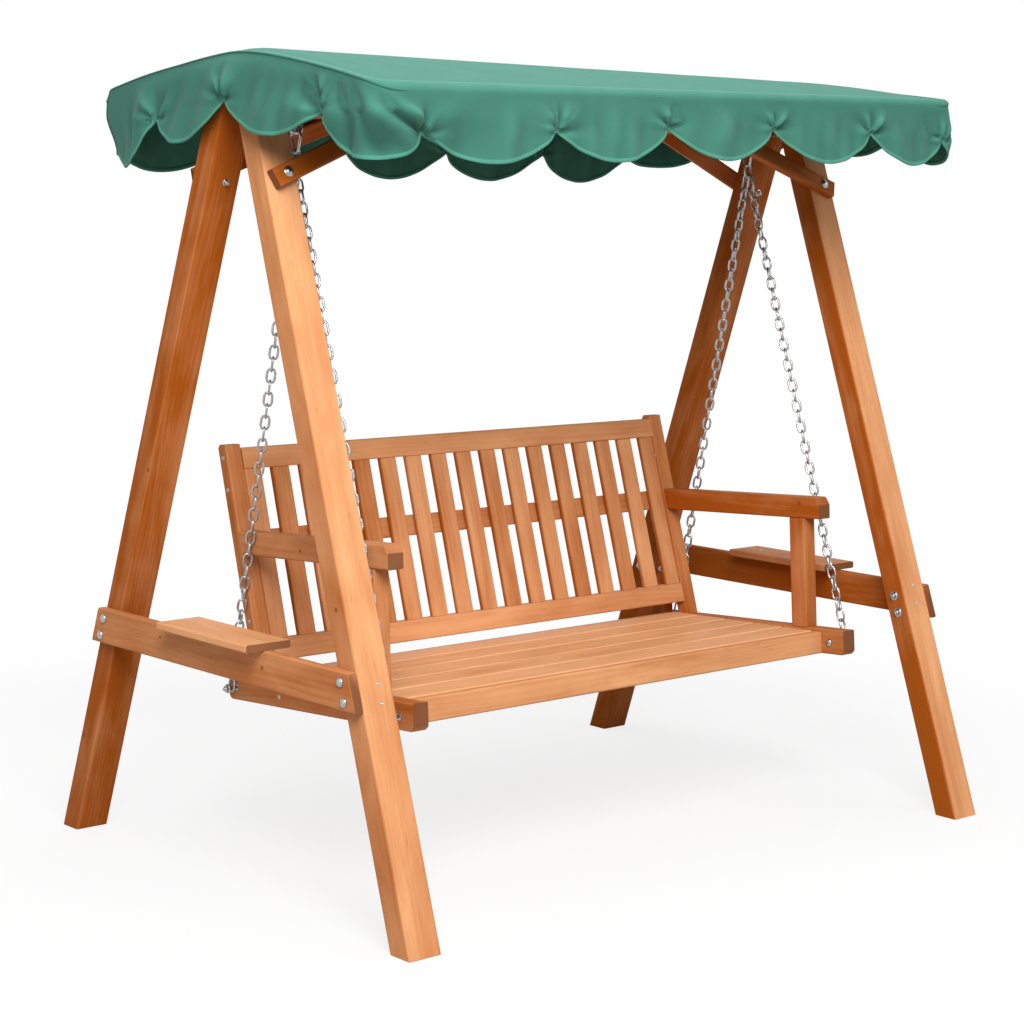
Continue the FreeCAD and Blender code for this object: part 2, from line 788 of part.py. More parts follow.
def hook():
    """A pear-shaped loop in the YZ plane about the swing's axis, whose top rides on the eye's bar."""
    wire = size["hookWire"]
    big, small = size["hookTopRadius"], size["hookBottomRadius"]
    top = size["eyeWire"] / 2 + size["runClearance"] + wire / 2 - big
    low = top - size["hookSpan"]
    lean = math.asin((big - small) / size["hookSpan"])
    c, s = math.cos(lean), math.sin(lean)

    def at(y, z):
        return Vector(0, y, z)

    start, over = at(big * c, top - big * s), at(-big * c, top - big * s)
    under, back = at(-small * c, low - small * s), at(small * c, low - small * s)
    edges = [
        Part.Arc(start, at(0, top + big), over).toShape(),
        Part.LineSegment(over, under).toShape(),
        Part.Arc(under, at(0, low - small), back).toShape(),
        Part.LineSegment(back, start).toShape(),
    ]
    section = barSection(start, Vector(1, 0, 0), Vector(0, c, -s), wire / 2)
    return pipe(edges, section), low - small + wire / 2


def linkShape(wire, innerWidth, innerLength, seat):
    """A link of bar in the YZ plane about its middle, long in Z, with a flat of two seats at each end."""
    half = (innerWidth + wire) / 2
    tall = (innerLength + wire) / 2
    cut = half - (math.sqrt(2) - 1) * wire / 2 - seat
    line = [(half, tall - cut), (half - cut, tall), (cut - half, tall), (-half, tall - cut),
            (-half, cut - tall), (cut - half, -tall), (half - cut, -tall), (half, cut - tall)]

    def ring(offset):
        shrink = offset * (math.sqrt(2) - 1)
        grown = [(y + math.copysign(1, y) * (offset if abs(y) > half - cut / 2 else shrink),
                  z + math.copysign(1, z) * (offset if abs(z) > tall - cut / 2 else shrink)) for y, z in line]
        points = [Vector(-wire / 2, y, z) for y, z in grown]
        return Part.Face(Part.makePolygon(points + points[:1])).extrude(Vector(wire, 0, 0))

    return ring(wire / 2).cut(ring(-wire / 2)).Solids[0]


def chain(topPoint, boltPoint):
    """Links from the ring to the bolt, each turned a quarter from the one before and seated in its end.

    The first link is longer, so that two chains can hang side by side on one ring. An odd number of links
    brings the last one round to the bolt.
    """
    run = boltPoint - topPoint
    count = 2 * int(size["chainLinks"] / 2) + 1
    spacing = (run.Length + size["chainBolt"] / 2 - size["firstLink"]) / (count - 1)
    wire, width, gap = size["chainWire"], size["chainInnerWidth"], size["seatGap"]
    first = linkShape(wire, width, size["firstLink"] + gap, size["ringWire"] / 2 + size["runClearance"])
    link = linkShape(wire, width, spacing + gap, wire / 2 + gap)
    run.normalize()
    lean = math.degrees(math.atan2(run.y, -run.z))
    links = []
    for index in range(count):
        piece = link.copy() if index else first
        along = size["firstLink"] + spacing * (index - 0.5) if index else size["firstLink"] / 2
        quarter = Rotation(Vector(0, 0, 1), 90 * (index % 2))
        piece.Placement = Placement(topPoint + run * along, Rotation(Vector(1, 0, 0), lean) * quarter)
        links.append(piece)
    return links


hookSolid, hookFoot = hook()
ringSeat = size["chainSplit"] + size["chainWire"] / 2 + size["seatGap"]
ringSolid = linkShape(size["ringWire"], size["ringInnerWidth"], size["ringInnerLength"], ringSeat)
hookBend = size["hookBottomRadius"] - size["hookWire"] / 2
hookLift = hookBend - math.sqrt(hookBend ** 2 - (size["ringWire"] / 2) ** 2)
ringMiddle = hookFoot + hookLift + size["seatGap"] - size["ringInnerLength"] / 2
for xName, xSign in SIDES:
    place = hang * Placement(Vector(xSign * size["hangPlace"], 0, size["hingeHeight"]), Rotation())
    feature(f"hook_{xName}", [hookSolid.copy()], place)
    upright = Placement(Vector(0, 0, ringMiddle), Rotation(Vector(0, 0, 1), 90))
    feature(f"ring_{xName}", [ringSolid.copy()], place * upright)
    for yName, bolt in chainBoltEnds:
        aside = xSign * size["chainSplit"] * (1 if yName == "front" else -1)
        drop = number("hingeHeight - chainBoltHeight")
        ringFoot = ringMiddle - size["ringInnerLength"] / 2
        lift = size["ringWire"] / 2 * abs(size[bolt]) / (drop + ringFoot) + 2 * size["seatGap"]
        top = Vector(aside, 0, ringFoot + lift)
        foot = Vector(aside, size[bolt], -drop)
        feature(f"chain_{yName}_{xName}", chain(top, foot), place)


def chainBolt(start):
    """Along +X from the head's seat at start: head, shank, a washer outside the link, and the nut."""
    shank = size["chainBolt"] / 2
    end = number("hangPlace + chainSplit + chainWire / 2 + runClearance + washerThick")
    head = hexagon(size["nutWidth"], size["nutHeight"])
    head.translate(Vector(0, 0, start - size["nutHeight"]))
    bolt = head.fuse(faceted([(shank, start), (shank, end)], 12))
    disc, hole = size["washerWidth"] / 2, shank + size["boltClearance"]
    washer = faceted([(disc, end - size["washerThick"]), (disc, end)], 12).cut(
        faceted([(hole, end - size["washerThick"]), (hole, end)], 12))
    nut = hexagon(size["nutWidth"], size["nutHeight"])
    nut.translate(Vector(0, 0, end))
    return [bolt, washer, nut]


chainBolts = []
for _, xSign in SIDES:
    for yName, y in chainBoltEnds:
        place = Placement(Vector(0, size[y], size["chainBoltHeight"]), Rotation(Vector(0, 1, 0), 90 * xSign))
        start = "seatRailInner" if yName == "front" else "seatRailInner - supportThick"
        for piece in chainBolt(number(start)):
            piece.Placement = place * piece.Placement
            chainBolts.append(piece)
feature("chain_bolts", chainBolts, hang)

# Every piece must be sound before any is written

doc.recompute()
for obj in doc.Objects:
    if "Invalid" in obj.State or "Error" in obj.State:
        raise RuntimeError(f"{obj.Label} failed: {obj.State}")
for obj in nodes:
    if obj.Shape.isNull() or not obj.Shape.isValid():
        raise RuntimeError(f"{obj.Label} has no sound shape")
os.makedirs("parts", exist_ok=True)
for obj in nodes:
    obj.Shape.exportStep(f"parts/{obj.Label}.step")
print(len(nodes), "nodes")
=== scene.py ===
import math

import bmesh
import bpy
import numpy as np
from mathutils import Matrix


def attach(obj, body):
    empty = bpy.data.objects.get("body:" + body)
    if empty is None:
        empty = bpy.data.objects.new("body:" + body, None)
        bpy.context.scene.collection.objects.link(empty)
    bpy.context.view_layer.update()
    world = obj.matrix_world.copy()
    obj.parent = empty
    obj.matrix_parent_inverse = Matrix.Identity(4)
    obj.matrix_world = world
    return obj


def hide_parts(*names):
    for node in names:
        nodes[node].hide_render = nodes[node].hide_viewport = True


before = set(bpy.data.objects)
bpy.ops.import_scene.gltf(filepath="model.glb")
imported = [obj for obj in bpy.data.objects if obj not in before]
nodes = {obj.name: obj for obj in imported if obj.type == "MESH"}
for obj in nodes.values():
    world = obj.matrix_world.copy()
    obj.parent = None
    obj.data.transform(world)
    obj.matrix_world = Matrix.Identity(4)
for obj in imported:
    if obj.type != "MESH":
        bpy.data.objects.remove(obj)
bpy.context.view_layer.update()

rng = np.random.default_rng(11)
print("frame loaded:", len(nodes), "nodes")


# quads of a grid, wrapped round where a direction is closed
def gridFaces(rows, columns, wrapRows=False, wrapColumns=False):
    a, b = np.meshgrid(np.arange(rows if wrapRows else rows - 1),
                       np.arange(columns if wrapColumns else columns - 1), indexing="ij")
    aNext, bNext = (a + 1) % rows, (b + 1) % columns
    quads = [a * columns + b, a * columns + bNext, aNext * columns + bNext, aNext * columns + b]
    return np.stack(quads, -1).reshape(-1, 4)


def unit(arrows):
    return arrows / np.linalg.norm(arrows, axis=-1, keepdims=True)


# a profile carried along a path: ring = path + side * u + rise * v, where side = tangent x reference
def carry(path, profile, reference, closed=True):
    tangent = np.roll(path, -1, 0) - np.roll(path, 1, 0) if closed else np.gradient(path, axis=0)
    tangent = unit(tangent)
    side = unit(np.cross(tangent, reference))
    rise = np.cross(side, tangent)
    return path[:, None] + side[:, None] * profile[None, :, :1] + rise[:, None] * profile[None, :, 1:]


# a round section: (radius cos a, radius sin a)
def roundSection(radius, sides):
    a = np.linspace(0, 2 * np.pi, sides, endpoint=False)
    return radius * np.stack([np.cos(a), np.sin(a)], -1)


# many copies of one shape: copy = centre + basis . shape, all at once
def copies(shape, faces, bases, centres):
    points = np.einsum("kij,nj->kni", bases, shape.reshape(-1, 3)) + centres[:, None]
    shift = np.arange(len(centres))[:, None, None] * len(points[0])
    return points.reshape(-1, 3), (faces[None] + shift).reshape(-1, faces.shape[1])


# turned shape about Z from (radius, height) stages, first and last stage on the axis
def turned(profile, sides):
    a = np.linspace(0, 2 * np.pi, sides, endpoint=False)
    radius, height = np.array(profile).T
    ring = np.stack([np.cos(a), np.sin(a)], -1)
    flat = radius[:, None, None] * ring[None]
    points = np.concatenate([flat, np.broadcast_to(height[:, None, None], flat.shape[:2] + (1,))], -1)
    return points, gridFaces(len(profile), sides, wrapColumns=True)


# bases whose third column is the axis of each copy
def basesAlong(axes):
    axes = unit(np.array(axes, float))
    helper = np.where(np.abs(axes[:, :1]) > 0.9, [[0.0, 0.0, 1.0]], [[1.0, 0.0, 0.0]])
    first = unit(np.cross(helper, axes))
    return np.stack([first, np.cross(axes, first), axes], -1)


def addObject(name, data):
    made = bpy.data.objects.new(name, data)
    bpy.context.scene.collection.objects.link(made)
    return made


def makePiece(name, points, faces, material, body, uv=None, outwards=True):
    mesh = bpy.data.meshes.new(name)
    mesh.from_pydata(points.reshape(-1, 3).tolist(), [], faces.tolist())
    mesh.polygons.foreach_set("use_smooth", np.ones(len(mesh.polygons), bool))
    if uv is not None:
        corner = np.empty(len(mesh.loops), np.int32)
        mesh.loops.foreach_get("vertex_index", corner)
        mesh.uv_layers.new(name="cut").data.foreach_set("uv", uv.reshape(-1, 2)[corner].ravel())
    if outwards:
        work = bmesh.new()
        work.from_mesh(mesh)
        bmesh.ops.remove_doubles(work, verts=work.verts, dist=1e-6)
        bmesh.ops.recalc_face_normals(work, faces=work.faces)
        work.to_mesh(mesh)
        work.free()
    mesh.materials.append(material)
    mesh.update()
    piece = addObject(name, mesh)
    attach(piece, body)
    return piece


# shader nodes
# an input's value is set, and a socket is linked to it

def feed(tree, node, inputs):
    for key, value in inputs.items():
        if isinstance(value, bpy.types.NodeSocket):
            tree.links.new(value, node.inputs[key])
        else:
            node.inputs[key].default_value = value


def put(tree, kind, inputs=None, **settings):
    node = tree.nodes.new("ShaderNode" + kind)
    for key, value in settings.items():
        setattr(node, key, value)
    feed(tree, node, inputs or {})
    return node


def newGroup(name, inputs, outputs):
    group = bpy.data.node_groups.new(name, "ShaderNodeTree")
    for label, kind in inputs:
        group.interface.new_socket(label, in_out="INPUT", socket_type="NodeSocket" + kind)
    for label, kind in outputs:
        group.interface.new_socket(label, in_out="OUTPUT", socket_type="NodeSocket" + kind)
    return group, group.nodes.new("NodeGroupInput").outputs, group.nodes.new("NodeGroupOutput")


def sums(tree, operation, a, b=0.0):
    return put(tree, "Math", {0: a, 1: b}, operation=operation).outputs[0]


# base + value * weight
def plus(tree, base, value, weight):
    return sums(tree, "ADD", base, sums(tree, "MULTIPLY", value, weight))


def vectors(tree, operation, a, b):
    return put(tree, "VectorMath", {0: a, 1: b}, operation=operation).outputs[0]


def scaled(tree, vector, share):
    return put(tree, "VectorMath", {0: vector, "Scale": share}, operation="SCALE").outputs[0]


def mixed(tree, share, a, b, **settings):
    return put(tree, "Mix", {0: share, 6: a, 7: b}, data_type="RGBA", **settings).outputs[2]


# a value's span carried over to another span
def ranged(tree, value, span, to, **settings):
    inputs = {0: value, 1: span[0], 2: span[1], 3: to[0], 4: to[1]}
    return put(tree, "MapRange", inputs, **settings).outputs[0]


# noise on stretched coordinates, centred on zero
def streaks(tree, vector, stretch, detail, distortion):
    place = vectors(tree, "MULTIPLY", vector, stretch)
    noise = put(tree, "TexNoise", {"Vector": place, "Scale": 1.0, "Detail": detail, "Roughness": 0.55,
                                   "Distortion": distortion})
    return sums(tree, "SUBTRACT", noise.outputs[0], 0.5)


def newMaterial(name):
    material = bpy.data.materials.new(name)
    material.use_nodes = True
    tree = material.node_tree
    return material, tree, tree.nodes["Principled BSDF"]


# timber
# grain along local X: broad figure, growth lines, fibres, blotches and dark pores; darker on sawn ends;
# narrow faces darkened as painted shade

timberLook = {
    "pale": (0.82, 0.412, 0.195, 1.0),
    "deep": (0.36, 0.083, 0.008, 1.0),
    "end": (0.165, 0.066, 0.032, 1.0),
    "pore": (0.22, 0.065, 0.016, 1.0),
    "knot": (0.085, 0.028, 0.010, 1.0),
    "knotRing": (0.30, 0.095, 0.022, 1.0),
    "unlistedShadedTone": 0.03, "toneSpread": 0.03,  # tone of a board that isn't listed, and its chance part
    "slatSpread": 0.34, "slatJump": 7.0,  # from slat to slat: tone and place in the grain
    # the deep tone of a board that isn't listed is painted shade, for the boards under the canopy
    "roughness": 0.46, "gloss": 0.03, "fibreRough": 0.25, "endRough": 0.3,
    "grainDepth": 0.00035, "grainBump": 0.5, "lineHeight": 0.12, "arris": 0.0012,
    # stretch, detail and distortion of each noise
    "figure": ((1.4, 17, 17), 3.0, 0.8), "bend": ((0.9, 7, 7), 2.0, 0.6), "fibre": ((9, 430, 430), 2.0, 0.2),
    "blotch": ((4.5, 11, 11), 2.0, 0.4), "pores": ((26, 210, 210), 1.0, 0.0),
    "weights": (0.62, 0.030, 0.22, 0.62),  # of figure, growth lines, fibres and blotches
    "linePitch": 420.0, "lineBend": 46.0,
    "poreSpan": (0.17, 0.28), "poreShare": 0.3, "endSpan": (0.82, 0.93), "endShare": 0.86,
    "knotSpan": (0.75, 1.35), "knotShare": 0.85, "knotTurns": 5.0,
}


def timberGroup():
    look = timberLook
    group, given, result = newGroup(
        "timberGrain",
        [("Along", "Vector"), ("Facing", "Vector"), ("Tone", "Float"), ("Edge", "Float")],
        [("Colour", "Color"), ("Roughness", "Float"), ("Height", "Float")])
    along = given["Along"]
    noises = [streaks(group, along, *look[key]) for key in ("figure", "bend", "fibre", "blotch", "pores")]
    figure, bend, fibre, blotch, pores = noises
    across = put(group, "SeparateXYZ", {0: along}).outputs[1]
    phase = plus(group, sums(group, "MULTIPLY", across, look["linePitch"]), bend, look["lineBend"])
    lines = sums(group, "SINE", phase)
    facing = put(group, "SeparateXYZ", {0: given["Facing"]}).outputs
    onEnd, onEdge = (sums(group, "ABSOLUTE", facing[i]) for i in (0, 1))
    # painted shade: the narrow faces are made darker by the given amount
    value = sums(group, "SUBTRACT", given["Tone"], sums(group, "MULTIPLY", onEdge, given["Edge"]))
    for part, weight in zip((figure, lines, fibre, blotch), look["weights"]):
        value = plus(group, value, part, weight)
    colour = mixed(group, value, look["deep"], look["pale"])
    poreMask = ranged(group, pores, look["poreSpan"], (0.0, look["poreShare"]))
    colour = mixed(group, poreMask, colour, look["pore"])
    endMask = ranged(group, onEnd, look["endSpan"], (0.0, look["endShare"]))
    rough = plus(group, look["roughness"], fibre, look["fibreRough"])
    feed(group, result, {"Colour": mixed(group, endMask, colour, look["end"]),
                         "Roughness": plus(group, rough, endMask, look["endRough"]),
                         "Height": plus(group, fibre, lines, look["lineHeight"])})
    return group


timberGrain = timberGroup()


# knot: rings of two browns inside its radius, from the distance to its centre
def knotGroup():
    group, given, result = newGroup(
        "timberKnot",
        [("Colour", "Color"), ("Place", "Vector"), ("Centre", "Vector"), ("Radius", "Float")],
        [("Colour", "Color")])
    off = vectors(group, "SUBTRACT", given["Place"], given["Centre"])
    away = put(group, "VectorMath", {0: off}, operation="LENGTH").outputs["Value"]
    rest = sums(group, "DIVIDE", away, given["Radius"])
    wave = sums(group, "SINE", sums(group, "MULTIPLY", rest, timberLook["knotTurns"]))
    brown = mixed(group, sums(group, "ABSOLUTE", wave), timberLook["knot"], timberLook["knotRing"])
    mask = ranged(group, rest, timberLook["knotSpan"], (timberLook["knotShare"], 0.0))
    feed(group, result, {"Colour": mixed(group, mask, given["Colour"], brown)})
    return group


timberKnot = knotGroup()


# board axes from its faces: the length is the direction that the area-weighted normals avoid most
def boardTurn(node):
    mesh = node.data
    mesh.calc_loop_triangles()
    corners = np.empty(len(mesh.loop_triangles) * 3, np.int32)
    mesh.loop_triangles.foreach_get("vertices", corners)
    places = np.empty(len(mesh.vertices) * 3, np.float32)
    mesh.vertices.foreach_get("co", places)
    a, b, c = places.reshape(-1, 3).astype(float)[corners.reshape(-1, 3)].transpose(1, 0, 2)
    normal = np.cross(b - a, c - a)
    area = np.linalg.norm(normal, axis=1, keepdims=True) + 1e-15
    axes = np.linalg.eigh((normal / np.sqrt(area)).T @ (normal / np.sqrt(area)))[1]
    length, face = axes[:, 0], axes[:, 2]
    length = length * np.sign(length[np.argmax(np.abs(length))])
    return Matrix(np.stack([length, np.cross(face, length), face])).to_euler("XYZ")


def timberFinish(name, node, tone, edge, perBoard, knots):
    material, tree, shader = newMaterial("timber_" + name)
    place = put(tree, "TexCoord").outputs
    turn = boardTurn(node)
    offset = rng.uniform(-4, 4, 3)
    inputs = {"Vector": place["Object"], "Rotation": turn, "Location": offset}
    along = put(tree, "Mapping", inputs).outputs[0]
    inputs = {"Vector": place["Normal"], "Rotation": turn}
    facing = put(tree, "Mapping", inputs, vector_type="VECTOR").outputs[0]
    if perBoard is not None:  # several boards in one node: each board's number moves its grain and its tone
        start, step = perBoard
        x = put(tree, "SeparateXYZ", {0: place["Object"]}).outputs[0]
        number = sums(tree, "FLOOR", sums(tree, "DIVIDE", sums(tree, "SUBTRACT", x, start), step))
        chance = put(tree, "TexWhiteNoise", {"W": number}, noise_dimensions="1D").outputs
        along = vectors(tree, "ADD", along, scaled(tree, chance["Color"], timberLook["slatJump"]))
        tone = plus(tree, tone, sums(tree, "SUBTRACT", chance["Value"], 0.5), timberLook["slatSpread"])
    inputs = {"Along": along, "Facing": facing, "Tone": tone, "Edge": edge}
    grain = put(tree, "Group", inputs, node_tree=timberGrain).outputs
    colour = grain["Colour"]
    for centre, radius in knots:
        inputs = {"Colour": colour, "Place": place["Object"], "Centre": centre, "Radius": radius}
        colour = put(tree, "Group", inputs, node_tree=timberKnot).outputs["Colour"]
    bump = put(tree, "Bump", {"Height": grain["Height"], "Strength": timberLook["grainBump"],
                              "Distance": timberLook["grainDepth"]})
    feed(tree, shader, {"Base Color": colour, "Roughness": grain["Roughness"], "Normal": bump.outputs[0],
                        "Specular IOR Level": timberLook["gloss"]})
    return material


def easeArrises(node, width):
    weld = node.modifiers.new("weld", "WELD")
    weld.merge_threshold = 1e-5
    flats = node.modifiers.new("flats", "DECIMATE")
    flats.decimate_type = "DISSOLVE"
    flats.angle_limit = math.radians(0.5)
    bevel = node.modifiers.new("arris", "BEVEL")
    bevel.width = width
    bevel.segments = 2
    bevel.limit_method = "ANGLE"
    bevel.angle_limit = math.radians(25)


benchSizes = {
    "hinge": 1.7, "tilt": 3.57,
    "slatStart": -0.690, "slatLead": 0.006, "slatStep": (2 * 0.690 - 0.053) / 16,
}

# how pale each board is, from 0 to 1: partly the wood's own tone, partly painted light and shade, paler for
# boards the light falls on and deeper for boards in shade
boardTonesAndPaintedLight = {
    "leg_front_left": 0.66, "leg_rear_left": 0.03, "leg_front_right": 0.72, "leg_rear_right": 0.06,
    "side_rail_left": 0.30, "side_rail_right": 0.00, "shelf_left": 0.75, "shelf_right": 0.45,
    "arm_left": 0.42, "arm_right": 0.04, "arm_post_left": 0.25, "arm_post_right": 0.14,
    "seat_rail_left": 0.25, "seat_rail_right": 0.15, "front_apron": 0.66, "rear_seat_rail": 0.35,
    "seat_slat_1": 0.95, "seat_slat_2": 0.88, "seat_slat_3": 0.97, "seat_slat_4": 0.90,
    "seat_slat_5": 0.93,
    "back_top_rail": 0.58, "back_bottom_rail": 0.58, "back_mid_rail": 0.36, "back_slats": 0.56,
    "back_stile_left": 0.36, "back_stile_right": 0.28, "ridge_beam": 0.06,
}
# painted shade: how much darker its narrow faces are painted, where those sides fall in shade
paintedSideShades = {"leg_front_left": 0.22, "leg_front_right": 0.66, "back_slats": 0.55}
# centre and radius of each knot
boardKnots = {
    "arm_right": [((0.690, -0.2672, 0.7751), 0.0065)],
    "arm_left": [((-0.735, -0.0141, 0.7446), 0.0040)],
    "side_rail_left": [((-0.959, -0.1826, 0.5293), 0.0045), ((-0.959, 0.2183, 0.5363), 0.0035)],
    "leg_rear_left": [((-0.936, 0.5812, 0.2388), 0.0055), ((-0.936, 0.3108, 0.9118), 0.0045)],
    "leg_front_left": [((-0.936, -0.4133, 0.6870), 0.0050)],
    "leg_front_right": [((0.850, -0.4597, 0.4278), 0.0045)],
    "side_rail_right": [((0.936, 0.1814, 0.5133), 0.0050)],
}
steelNodes = ("eye_", "hook_", "ring_", "chain_")
timberNames = [n for n in sorted(nodes) if not n.startswith(steelNodes) and n != "canopy_cover"]
for name in timberNames:
    tone = boardTonesAndPaintedLight.get(name, timberLook["unlistedShadedTone"]) + rng.normal(0, timberLook["toneSpread"])
    edge = paintedSideShades.get(name, 0.0)
    several = None
    if name == "back_slats":
        several = (benchSizes["slatStart"] - benchSizes["slatLead"], benchSizes["slatStep"])
    finish = timberFinish(name, nodes[name], tone, edge, several, boardKnots.get(name, ()))
    nodes[name].data.materials.clear()
    nodes[name].data.materials.append(finish)
    easeArrises(nodes[name], timberLook["arris"])
print("timber finished:", len(timberNames), "boards")


# zinc: dull and bright clouds, with rough specks

zincLook = {
    "bright": (0.52, 0.52, 0.51, 1.0), "dull": (0.27, 0.27, 0.28, 1.0), "contrast": 1.3,
    "roughness": 0.28, "speckRough": 0.3, "cloudRough": -0.25,
    "cloud": ((160, 160, 160), 3.0, 0.3), "speck": ((900, 900, 900), 1.0, 0.0),
}


def zincFinish():
    look = zincLook
    material, tree, shader = newMaterial("zinc")
    place = put(tree, "TexCoord").outputs["Object"]
    cloud = streaks(tree, place, *look["cloud"])
    speck = streaks(tree, place, *look["speck"])
    value = plus(tree, 0.5, cloud, look["contrast"])
    rough = plus(tree, look["roughness"], speck, look["speckRough"])
    feed(tree, shader, {"Metallic": 1.0, "Base Color": mixed(tree, value, look["dull"], look["bright"]),
                        "Roughness": plus(tree, rough, cloud, look["cloudRough"])})
    return material


zinc = zincFinish()


def zincPiece(name, points, faces, body):
    return makePiece(name, points, faces, zinc, body)


# chains, rings, hooks and eyes
# the bench is drawn level and hangs turned about the hinge: y' = y cos + z sin, z' = z cos - y sin

def hang(points):
    turn = math.radians(benchSizes["tilt"])
    x, y, z = np.moveaxis(points - [0, 0, benchSizes["hinge"]], -1, 0)
    hung = [x, y * math.cos(turn) + z * math.sin(turn), z * math.cos(turn) - y * math.sin(turn)]
    return np.stack(hung, -1) + [0, 0, benchSizes["hinge"]]


chainSizes = {
    "place": 0.752, "wire": 0.0058, "innerWidth": 0.013, "split": 0.0035, "links": 45, "firstLink": 0.038,
    "top": -0.0705, "drop": 1.294, "boltFront": -0.300, "boltRear": 0.312, "bolt": 0.008,
    "twist": 38.0, "twistPower": 0.7, "sway": 2.0, "sides": 6,
}


# a link's middle line in the YZ plane: two half circles joined by straight runs
def linkPath(halfWidth, halfLength):
    a = np.linspace(0, np.pi, 5)
    y = np.concatenate([halfWidth * np.cos(a), -halfWidth * np.cos(a)])
    z = np.concatenate([halfLength - halfWidth + halfWidth * np.sin(a),
                        halfWidth - halfLength - halfWidth * np.sin(a)])
    return np.stack([np.zeros_like(y), y, z], -1)


# turns about X, then about the chain: whole stacks of 3x3
def linkBases(lean, quarter):
    zero, one = np.zeros_like(lean), np.ones_like(lean)
    c, s = np.cos(quarter), np.sin(quarter)
    spin = np.array([[c, -s, zero], [s, c, zero], [zero, zero, one]]).transpose(2, 0, 1)
    c, s = np.cos(lean), np.sin(lean)
    tip = np.array([[one, zero, zero], [zero, c, -s], [zero, s, c]]).transpose(2, 0, 1)
    return tip @ spin


# a round wire along a closed path
def wireRing(path, wire, sides, reference):
    return carry(path, roundSection(wire / 2, sides), reference), gridFaces(len(path), sides, True, True)


def chainPiece(xName, xSign, yName, boltY):
    size = chainSizes
    wire = size["wire"]
    aside = xSign * size["split"] * (1 if yName == "front" else -1)
    top = np.array([xSign * size["place"] + aside, 0, benchSizes["hinge"] + size["top"]])
    foot = np.array([top[0], boltY, benchSizes["hinge"] - size["drop"]])
    run = foot - top
    length = np.linalg.norm(run)
    spacing = (length + size["bolt"] / 2 - size["firstLink"]) / (size["links"] - 1)
    index = np.arange(size["links"])
    along = np.where(index == 0, size["firstLink"] / 2, size["firstLink"] + spacing * (index - 0.5))
    centres = top + run / length * along[:, None]
    rest = index / (size["links"] - 1)
    twist = np.radians(size["twist"]) * np.sin(np.pi * rest) ** size["twistPower"] * xSign
    sway = np.radians(size["sway"]) * rng.uniform(-1, 1, len(index)) * (index > 0)
    bases = linkBases(math.atan2(run[1], -run[2]) + sway, np.pi / 2 * (index % 2) + twist)
    half = (size["innerWidth"] + wire) / 2
    first, faces = wireRing(linkPath(half, (size["firstLink"] + wire) / 2), wire, size["sides"], [1, 0, 0])
    other, faces = wireRing(linkPath(half, (spacing + wire) / 2), wire, size["sides"], [1, 0, 0])
    firstPoints, firstFaces = copies(first, faces, bases[:1], centres[:1])
    points, linkFaces = copies(other, faces, bases[1:], centres[1:])
    points = hang(np.concatenate([firstPoints, points]))
    faces = np.concatenate([firstFaces, linkFaces + len(firstPoints)])
    piece = zincPiece(f"links_{yName}_{xName}", points, faces, "bench")
    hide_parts(f"chain_{yName}_{xName}")


hookSizes = {"wire": 0.007, "top": 0.017, "bottom": 0.009, "span": 0.028, "rest": -0.0087, "sides": 10}
ringSizes = {
    "wire": 0.0055, "halfWidth": 0.01075, "halfLength": 0.01775, "corner": 0.0072, "middle": -0.056363,
    "sides": 10,
}
eyeSizes = {
    "wire": 0.009, "half": 0.015, "rise": 0.0265, "bend": 0.009, "sides": 12,
    "collar": 0.013, "collarThick": 0.004, "collarEdge": 0.001,
}


# a pear: a large arc over the bar and a small arc below, joined by their common tangents
def pearPath():
    big, small, span = hookSizes["top"], hookSizes["bottom"], hookSizes["span"]
    lean = math.asin((big - small) / span)
    over = np.linspace(-lean, math.pi + lean, 17)
    under = np.linspace(math.pi + lean, 2 * math.pi - lean, 9)
    y = np.concatenate([big * np.cos(over), small * np.cos(under)])
    z = np.concatenate([big * np.sin(over), small * np.sin(under) - span]) + hookSizes["rest"]
    return np.stack([np.zeros_like(y), y, z], -1)


# a rectangle with round corners, in the XZ plane
def roundedPath(halfWidth, low, high, corner):
    a = np.linspace(0, math.pi / 2, 6)
    x, z = [], []
    for number, (sx, sz) in enumerate(((1, 1), (-1, 1), (-1, -1), (1, -1))):
        turn = a + number * math.pi / 2
        x.append(sx * (halfWidth - corner) + corner * np.cos(turn))
        z.append((high - corner if sz > 0 else low + corner) + corner * np.sin(turn))
    x, z = np.concatenate(x), np.concatenate(z)
    return np.stack([x, np.zeros_like(x), z], -1)


